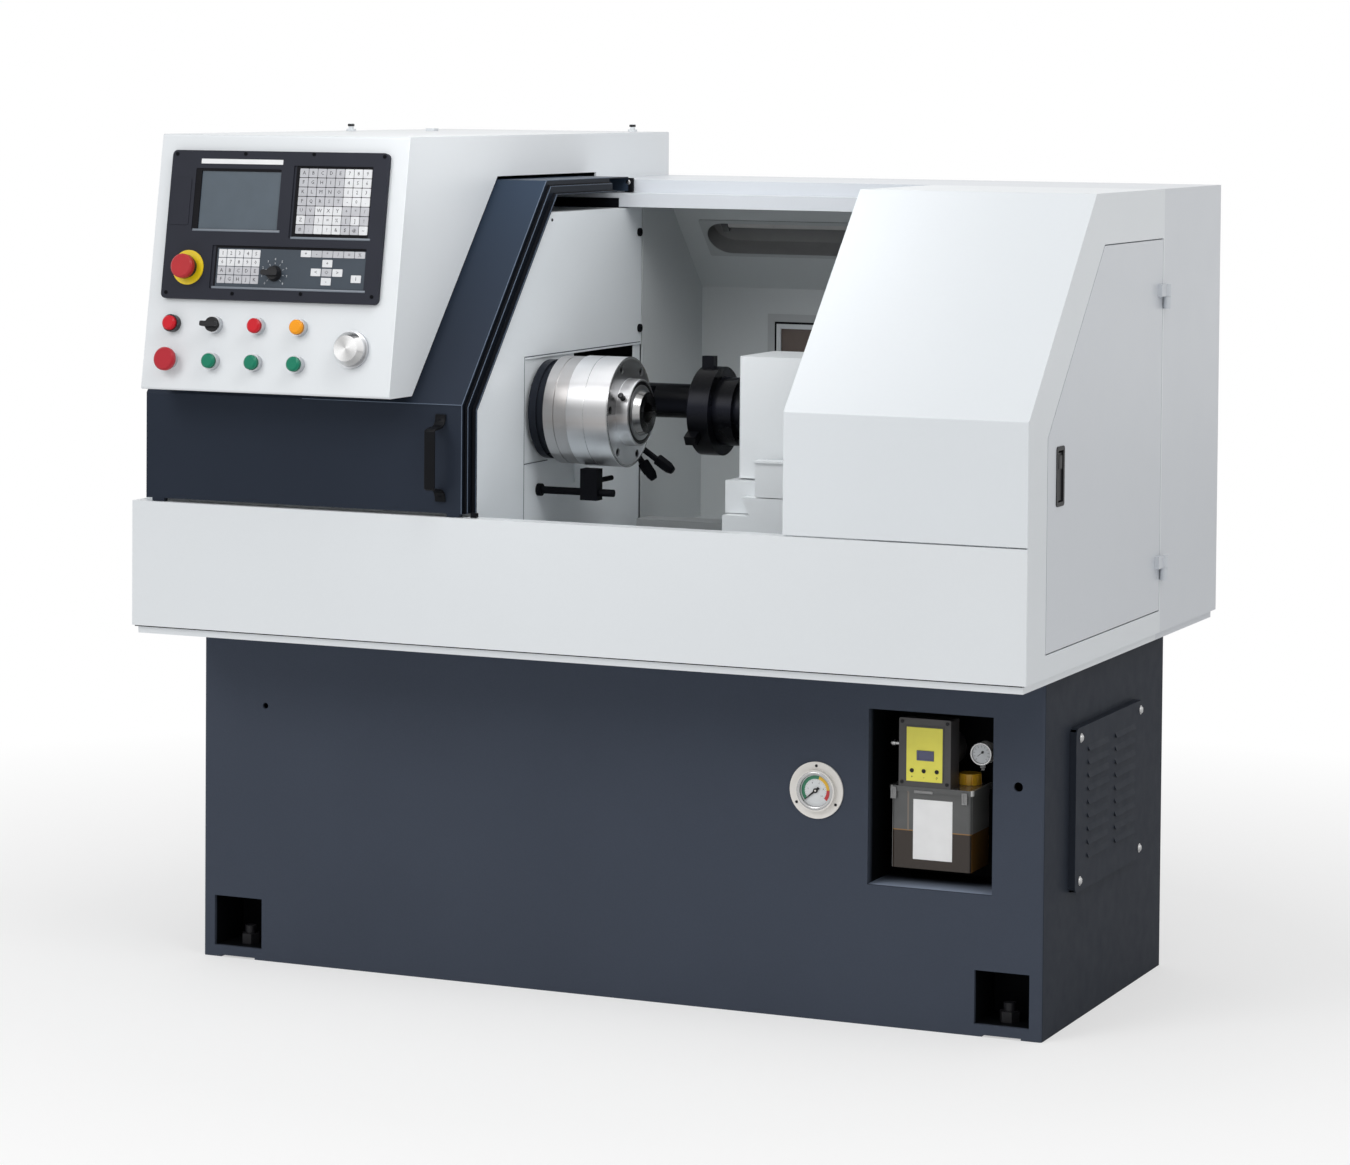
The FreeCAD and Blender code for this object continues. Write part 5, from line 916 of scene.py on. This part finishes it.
def gaugePieces():
    face, floor, wide = frontOf("pressure_gauge"), -gauge["dialDepth"], gauge["dial"]
    top = floor + 0.6
    dial = turned("gaugeDial", [(wide, floor), (wide, floor + 0.5), (wide - 0.4, top)], 64)
    fit(dial, [face], "dialFace", slot="gauge_metal")
    ring = turned("gaugeRing", [(27, top), (27, -0.4), (27.6, 0.4), (30, 0.9), (32.2, 0.6), (33, -0.6),
                                (33, -7), (30.95, -7), (30.95, top), (27, top)], 64)
    fit(ring, [face], "plainSteel", slot="gauge_metal", smooth=50)
    seat = gauge["flange"] - gauge["bezelOut"]
    spots = [polar(face, gauge["screwCircle"], angle, seat, False) for angle in gauge["screwAngles"]]
    fit(socketScrew("gaugeScrews", 2.4, 1.1), spots, "screwBlack", slot="black_steel")
    frames = [polar(face, gauge["tickAt"], angle, top) for angle in evenly(*gauge["angles"], gauge["ticks"])]
    fit(block("gaugeTicks", (-1, -0.12, -0.1), (2, 0.24, 0.2), 0.04), frames, "legendBlack",
           slot="needle_black")
    values = gauge["digits"].split()
    digits = [(value, polar(face, gauge["digitAt"], angle, top, False))
              for value, angle in zip(values, evenly(*gauge["angles"], len(values)))]
    finish(lettering("gaugeDigits", digits, gauge["digit"]), "legendBlack", slot="needle_black")


gaugePieces()
print("pressure gauge")


# lubricator in its niche

lubricator = {  # fields are x, y, width and height in millimetres on the pump's or the tank's front
    "pumpLeft": 20, "pumpTall": 115,  # the case begins after the outlet
    "plate": (14, 9.5, 64, 91), "display": (32.5, 45, 30.5, 17),
    "buttons": (24, 45.2, 68.3), "buttonRise": 27.5, "markDrop": 10.5, "corners": ((6, 86), (7, 109)),
    "outlet": (21, 68),  # behind the front and over the foot
    "tankInset": (4, 3), "label": (39, 16, 69.5, 101), "clips": ((5, 134, 3), (131, 132, 3)),
    "tickAt": 12.6, "nut": (12, 18.5),  # behind and under the small dial's middle
}


def pumpPieces():
    pumpLow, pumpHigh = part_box("lubricator_head")
    left, foot = pumpLow[0] + lubricator["pumpLeft"] / 1000, pumpHigh[2] - lubricator["pumpTall"] / 1000
    face = facing((left, pumpLow[1], foot), (0, -1, 0))
    fit(sunk("pumpPlate", lubricator["plate"], -0.1, 0.8, 0.3, 1, 0.1), [face], "pumpYellow",
           slot="yellow_plastic")
    fit(sunk("pumpDisplay", lubricator["display"], 0.5, 1.4, 0.4, 2.4, 0.8), [face],
           "displayBlue", slot="screen_glass")
    spots = [shifted(face, across, lubricator["buttonRise"], 0.6) for across in lubricator["buttons"]]
    knob = turned("pumpButtons", [(3.6, 0), (3.6, 0.8), (3.0, 1.2), (2.6, 1.2), (2.4, 0.8)], 24)
    fit(knob, spots, "screwBlack")
    sides, levels = lubricator["corners"]
    corners = [shifted(face, across, up, -1) for across in sides for up in levels]
    fit(socketScrew("pumpScrews", 3, 1.6), corners, "screwBlack", slot="black_steel")
    marks = [(text, shifted(spot, 0, -lubricator["markDrop"], 0.02)) for text, spot in zip("+-0", spots)]
    finish(lettering("pumpMarks", marks, 7), "legendBlack")
    union = turned("outletUnion", [(4.4, 0), (4.4, 12), (6.2, 12), (6.2, 18), (4.4, 18), (4.4, 19.8)], 18)
    back, rise = lubricator["outlet"]
    spot = facing((left, pumpLow[1] + back / 1000, foot + rise / 1000), (-1, 0, 0))
    fit(union, [spot], "plainSteel", slot="bright_steel")


def tankPieces():
    step = Vector((*lubricator["tankInset"], 0)) / 1000
    tank = facing(Vector(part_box("oil_tank")[0]) + step, (0, -1, 0))
    label = sunk("tankLabel", lubricator["label"], -0.05, 0.5, 0.2, 1, 0.05)
    fit(label, [tank], "paperWhite", slot="key_plastic")
    clip = sink(block("tankClips", (-5, -18, 0), (10, 20, 3), 1, 2), 2, 1)
    spots = [shifted(tank, *spot) for spot in lubricator["clips"]]
    fit(clip, spots, "clipClear", slot="tank_clear")
    lug = block("tankLug", (41, 127.5, 2.5), (34, 5, 2.4), 1.2, 3)
    fit(lug, [tank], "clipClear", slot="tank_clear")


def smallDialPieces():
    face = frontOf("lube_gauge")
    dial = turned("smallDial", [(15.8, -2), (15.8, -1.6), (15.4, -1.5)])
    fit(dial, [face], "dialPlain", slot="gauge_metal")
    ring = turned("smallRing", [(15.9, -1.9), (15.9, 0.3), (16.6, 0.9), (18.4, 0.9), (19, 0.2), (15.9, -1.9)])
    fit(ring, [face], "plainSteel", slot="gauge_metal", smooth=50)
    ticks = [polar(face, lubricator["tickAt"], angle, -1.5) for angle in evenly(-45, 225, 11)]
    fit(block("smallTicks", (-1.6, -0.25, -0.1), (3.2, 0.5, 0.2), 0.05), ticks, "legendBlack",
           slot="needle_black")
    hand = block("smallHand", (-3, -0.45, 0), (14.5, 0.9, 0.5), 0.15)
    hub = turned("smallHub", [(2.2, 0), (2.2, 0.9), (1.6, 1.2)], 20)
    pointer = together("smallPointer", [hub, hand])
    fit(pointer, [shifted(face, 2, 3, -1.5, 220)], "legendBlack", slot="needle_black")
    nut = turned("dialNut", [(5.5, 0), (5.5, 6), (3.4, 6), (3.4, 10), (2.6, 11)], 6)
    back, drop = (value / 1000 for value in lubricator["nut"])
    spot = Matrix.Translation(face.translation + Vector((0, back, -drop))) @ Matrix.Rotation(math.pi, 4, "X")
    fit(nut, [spot], "plainSteel", slot="bright_steel")


pumpPieces()
tankPieces()
smallDialPieces()
print("lubricator")


# chuck

chuck = {  # millimetres, and degrees that run from the machine's back upwards
    "boss": 58.5, "rim": 96.35, "rims": (-1, -46), "seal": (54.6, 48.4),
    "sockets": 6, "circle": 82, "first": 54, "screwRadius": 6.2, "screwSeat": -7.5,
    "pinAngle": 152, "pinAhead": 11,
}


def chuckPieces():
    nose = facing((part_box("chuck_body")[1][0], *chuckAxis.translation[1:]), (1, 0, 0))
    front = shifted(nose, z=-bossLength)
    angles = [chuck["first"] + 360 * index / chuck["sockets"] for index in range(chuck["sockets"])]
    spots = [polar(front, chuck["circle"], angle, chuck["screwSeat"]) for angle in angles]
    fit(socketScrew("chuckScrews", chuck["screwRadius"], 5, 0.55), spots, "sealBlack", "spindle",
           "black_steel")
    pin = turned("chuckPin", [(5, -1), (5, 2), (4.4, 3), (4.4, 9), (5.2, 10), (5.2, 13), (4, 14.5),
                              (2, 15)], 20)
    spot = polar(front, chuck["boss"], chuck["pinAngle"], chuck["pinAhead"])
    fit(pin, [spot @ Matrix.Rotation(math.pi / 2, 4, "Y")], "screwBlack", "spindle", "black_steel")
    out, hole = chuck["seal"]
    ring = turned("chuckSeal", [(out, -2.9), (out, -1.4), (out - 0.8, -0.9), (hole + 0.8, -0.9), (hole, -1.4),
                                (hole, -2.9), (out, -2.9)], 64)
    fit(ring, [nose], "screwBlack", "spindle", "black_steel", smooth=50)
    wide = chuck["rim"]
    steps = [turned("step", [(wide, low), (wide, low + 0.7), (wide - 0.7, low + 1.2), (wide - 4, low + 1.2),
                             (wide - 4, low), (wide, low)], 72) for low in chuck["rims"]]
    fit(together("chuckRims", steps), [front], "plainSteel", "spindle", "bright_steel", smooth=50)


chuckPieces()
print("chuck")


# louvred cover, wall bolts and other fasteners

fasteners = {  # places on the cover, on the wall and on the top, in millimetres
    "louvre": ((25, 18), (361, 17), (25, 259), (361, 260)), "louvreOut": 4,
    "wallOut": 616, "wall": ((515, 1298), (518, 1121)), "small": (139.6, 1330.7),
    "studs": ((66, 422), (447, 860)), "studTop": 1492,
}


def fastenerPieces():
    low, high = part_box("louvre_cover")
    face = facing((high[0] - fasteners["louvreOut"] / 1000, low[1], low[2]), (1, 0, 0))
    spots = [shifted(face, across, up) for across, up in fasteners["louvre"]]
    washer = turned("washer", [(8, -0.2), (8, 0.7), (7.4, 1.1), (5, 1.1)], 24)
    screw = together("louvreScrews", [domeScrew("dome", 6.6, 4.2), washer])
    fit(screw, spots, "plainSteel", slot="bright_steel")
    out = fasteners["wallOut"]
    spots = [onWall(out, y, z) for y, z in fasteners["wall"]]
    fit(socketScrew("wallScrews", 7.6, 5), spots, "sealBlack", slot="black_steel")
    small = domeScrew("smallScrews", 2.8, 2)
    fit(small, [onWall(out, *fasteners["small"])], "screwBlack", slot="black_steel")
    nut = turned("studNuts", [(6.2, -5), (6.2, -1), (4.8, -0.5), (3, -0.1)], 6)
    spots = [onWall(x, y, fasteners["studTop"], (0, 0, 1)) for x, y in fasteners["studs"]]
    fit(nut, spots, "screwBlack", slot="black_steel")


fastenerPieces()
print("fasteners")


# door trim, seams, lamp, window and nozzles

doorway = {  # millimetres from the corner of the base
    "line": ((-190, 842), (-190, 1026), (138, 1400), (402, 1400)),  # y and z of the door's outer skin
    # painted highlights: the edgeNavy beads are a lighter navy along the jamb's folds and steps; the black
    # beads are seals that also stand in for the shade in the jamb's grooves
    "beads": ((605.4, 0.2, 0.9, "edgeNavy"), (611.9, 10.6, 0.8, "edgeNavy"), (621.2, 24.4, 0.8, "edgeNavy"),
              (608.6, 9.6, 2.4, "sealBlack"), (615.6, 23.6, 2.2, "sealBlack")),  # x, depth, radius and finish
    # painted highlight: a lighter navy bead along the slant's fold
    "fold": ((300, -190.4, 1026.6), (605, -190.4, 1026.6)), "foldRadius": 0.9,
    "endScrew": (605, 490.2, 1390),
    "strap": {"half": 10, "thick": 2, "foot": 21, "rise": (23, 30), "gap": 6, "back": 2.1,
              "screws": 12, "screwSeat": 4},
}
strips = {  # bars as lowest corner and size, then the edge and its steps, the finish and the body
    "doorEnd": ([((597, 490.2, 1372), (16, 9, 26))], 1.5, 2, "sealBlack", "door"),
    "doorFoot": ([((621, -187, 836.8), (12, 8, 8))], 1, 2, "sealBlack", "door"),
    # painted shade: a black strip before the rail for the dark gap under the door's top return
    "railShade": ([((470, 450, 1326), (134, 1.7, 36))], 0.5, 1, "sealBlack", "frame"),
    "wallSeams": ([((615.6, 31, 800), (0.7, 1.6, 296)), ((615.6, 32.6, 1094.4), (0.7, 492, 1.6)),
                   ((615.6, 32.6, 908), (0.7, 95, 1.6))], 0.2, 1, "membraneSlate", "frame"),
    # painted shade: near black strips for the shadow line between the tray and the apron's lip
    "trayShadeLine": ([((-32, -189.6, 614.2), (1638, 0.8, 2.6)), ((1606.4, -189, 614.2), (0.8, 715, 2.6))],
                   0.2, 1, "sealBlack", "frame"),
}
window = {"wide": 260, "tall": 200, "rims": ((14.5, 4, 1.2, "sealBlack"), (18.5, 9, 2.2, "panelWhite"))}
lampScrews = {"x": (7, 413), "y": (7, 88)}
nozzles = {"from": (717.5, 235, 950), "ends": ((810.5, 235, 889), (774.5, 235, 873)),
           "head": 10.4, "length": 36}


def swept(name, kind, points, **settings):  # a closed mesh along points in metres
    line = bpy.data.curves.new(name, "CURVE")
    line.dimensions = "3D"
    line.use_fill_caps = True
    for setting, value in settings.items():
        setattr(line, setting, value)
    spline = line.splines.new(kind)
    spline.points.add(len(points) - 1)
    for point, spot in zip(spline.points, points):
        point.co = (*spot, 1)
    if kind == "NURBS":
        spline.order_u, spline.use_endpoint_u, spline.resolution_u = 3, True, 8
    only(added(name, line))
    bpy.ops.object.convert(target="MESH")
    piece = bpy.context.object
    editing(piece)
    bpy.ops.mesh.normals_make_consistent(inside=False)
    done()
    return piece


def bead(name, path, radius):  # a round strip through points in millimetres from the corner of the base
    return swept(name, "POLY", [onWall(*spot).translation for spot in path], bevel_depth=radius / 1000,
                 bevel_resolution=1)


def strap(name, path, base, half, thick):  # a flat strip bent through points of a frame's x and y
    piece = swept(name, "NURBS", [(x / 1000, y / 1000, 0) for x, y in path], twist_mode="Z_UP",
                  extrude=(half - thick) / 1000, bevel_depth=thick / 1000, bevel_resolution=2)
    piece.matrix_world = base
    return settle(piece)


def inset(line, depth):  # the door's line moved inwards
    steps = [(Vector(end) - Vector(start)).normalized() for start, end in zip(line, line[1:])]
    sides = [Vector((step.y, -step.x)) for step in steps]
    moved = []
    for index, spot in enumerate(line):
        before, after = sides[max(index - 1, 0)], sides[min(index, len(sides) - 1)]
        moved.append(Vector(spot) + (before + after) * depth / (1 + before.dot(after)))
    return moved


def handlePieces():
    bar = doorway["strap"]
    low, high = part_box("door_handle")
    across = (low[0] + high[0]) / 2
    tall, out = (high[2] - low[2]) * 1000, (high[1] - low[1]) * 1000 - bar["gap"]
    path = [(0, 0), (0, bar["foot"]), *((out, rise) for rise in bar["rise"])]
    path = [(-away, rise) for away, rise in path + [(away, tall - rise) for away, rise in reversed(path)]]
    base = facing((across, high[1] - bar["back"] / 1000, low[2]), (1, 0, 0))
    handle = strap("doorStrap", path, base, bar["half"], bar["thick"])
    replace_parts(finish(handle, "handleBlack", "door", smooth=50), "door_handle")
    seat = high[1] - bar["screwSeat"] / 1000
    spots = [facing((across, seat, low[2] + rise / 1000), (0, -1, 0))
             for rise in (bar["screws"], tall - bar["screws"])]
    fit(socketScrew("strapScrews", 4.4, 2), spots, "sealBlack", "door", "black_steel")


def doorPieces():
    for index, (x, depth, radius, look) in enumerate(doorway["beads"]):
        path = [(x, *spot) for spot in inset(doorway["line"], depth)]
        finish(bead(f"doorBead{index + 1}", path, radius), look, "door")
    finish(bead("doorFold", doorway["fold"], doorway["foldRadius"]), "edgeNavy", "door")
    handlePieces()
    spot = onWall(*doorway["endScrew"], (0, -1, 0))
    fit(domeScrew("doorEndScrew", 5, 3.5), [spot], "plainSteel", "door", "bright_steel")


def stripPieces():
    base = Matrix.Translation(onWall(0, 0, 0).translation)
    for name, (bars, edge, steps, look, body) in strips.items():
        parts = [block(f"bar{index}", foot, size, edge, steps) for index, (foot, size) in enumerate(bars)]
        fit(together(name, parts), [base], look, body)


def windowPieces():
    corner = facing(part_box("back_window")[0], (0, -1, 0))

    def pane(name, edge, low, deep, soft, steps=1):  # a block over the window, less an edge all round
        size = (window["wide"] - 2 * edge, window["tall"] - 2 * edge, deep)
        return block(name, (edge, edge, low), size, soft, steps)

    for index, (edge, wide, rise, look) in enumerate(window["rims"]):
        outer = pane(f"windowRim{index + 1}", edge, -2, rise + 2, 0.6, 2)
        rim = carve(outer, pane("hole", edge + wide, -9, 30, 0.5))
        fit(rim, [corner], look, slot="black_plastic" if index == 0 else "panel_paint")


def lampAndNozzlePieces():
    corners = [shifted(lampFace, x, y, -0.1) for x in lampScrews["x"] for y in lampScrews["y"]]
    fit(domeScrew("lampScrews", 2, 1), corners, "screwBlack", slot="black_steel")
    start = onWall(*nozzles["from"]).translation
    ends = [onWall(*end).translation for end in nozzles["ends"]]
    head, length = nozzles["head"], nozzles["length"]
    heads = [shifted(facing(end, end - start), z=-length) for end in ends]
    hexagon = turned("nozzleHeads", [(head * 0.8, -1), (head, 1), (head, length * 0.72),
                                     (head * 0.72, length - 2), (head * 0.6, length)], 6)
    fit(hexagon, heads, "sealBlack", smooth=20)


doorPieces()
stripPieces()
windowPieces()
lampAndNozzlePieces()
print("door trim, seams, window and nozzles")
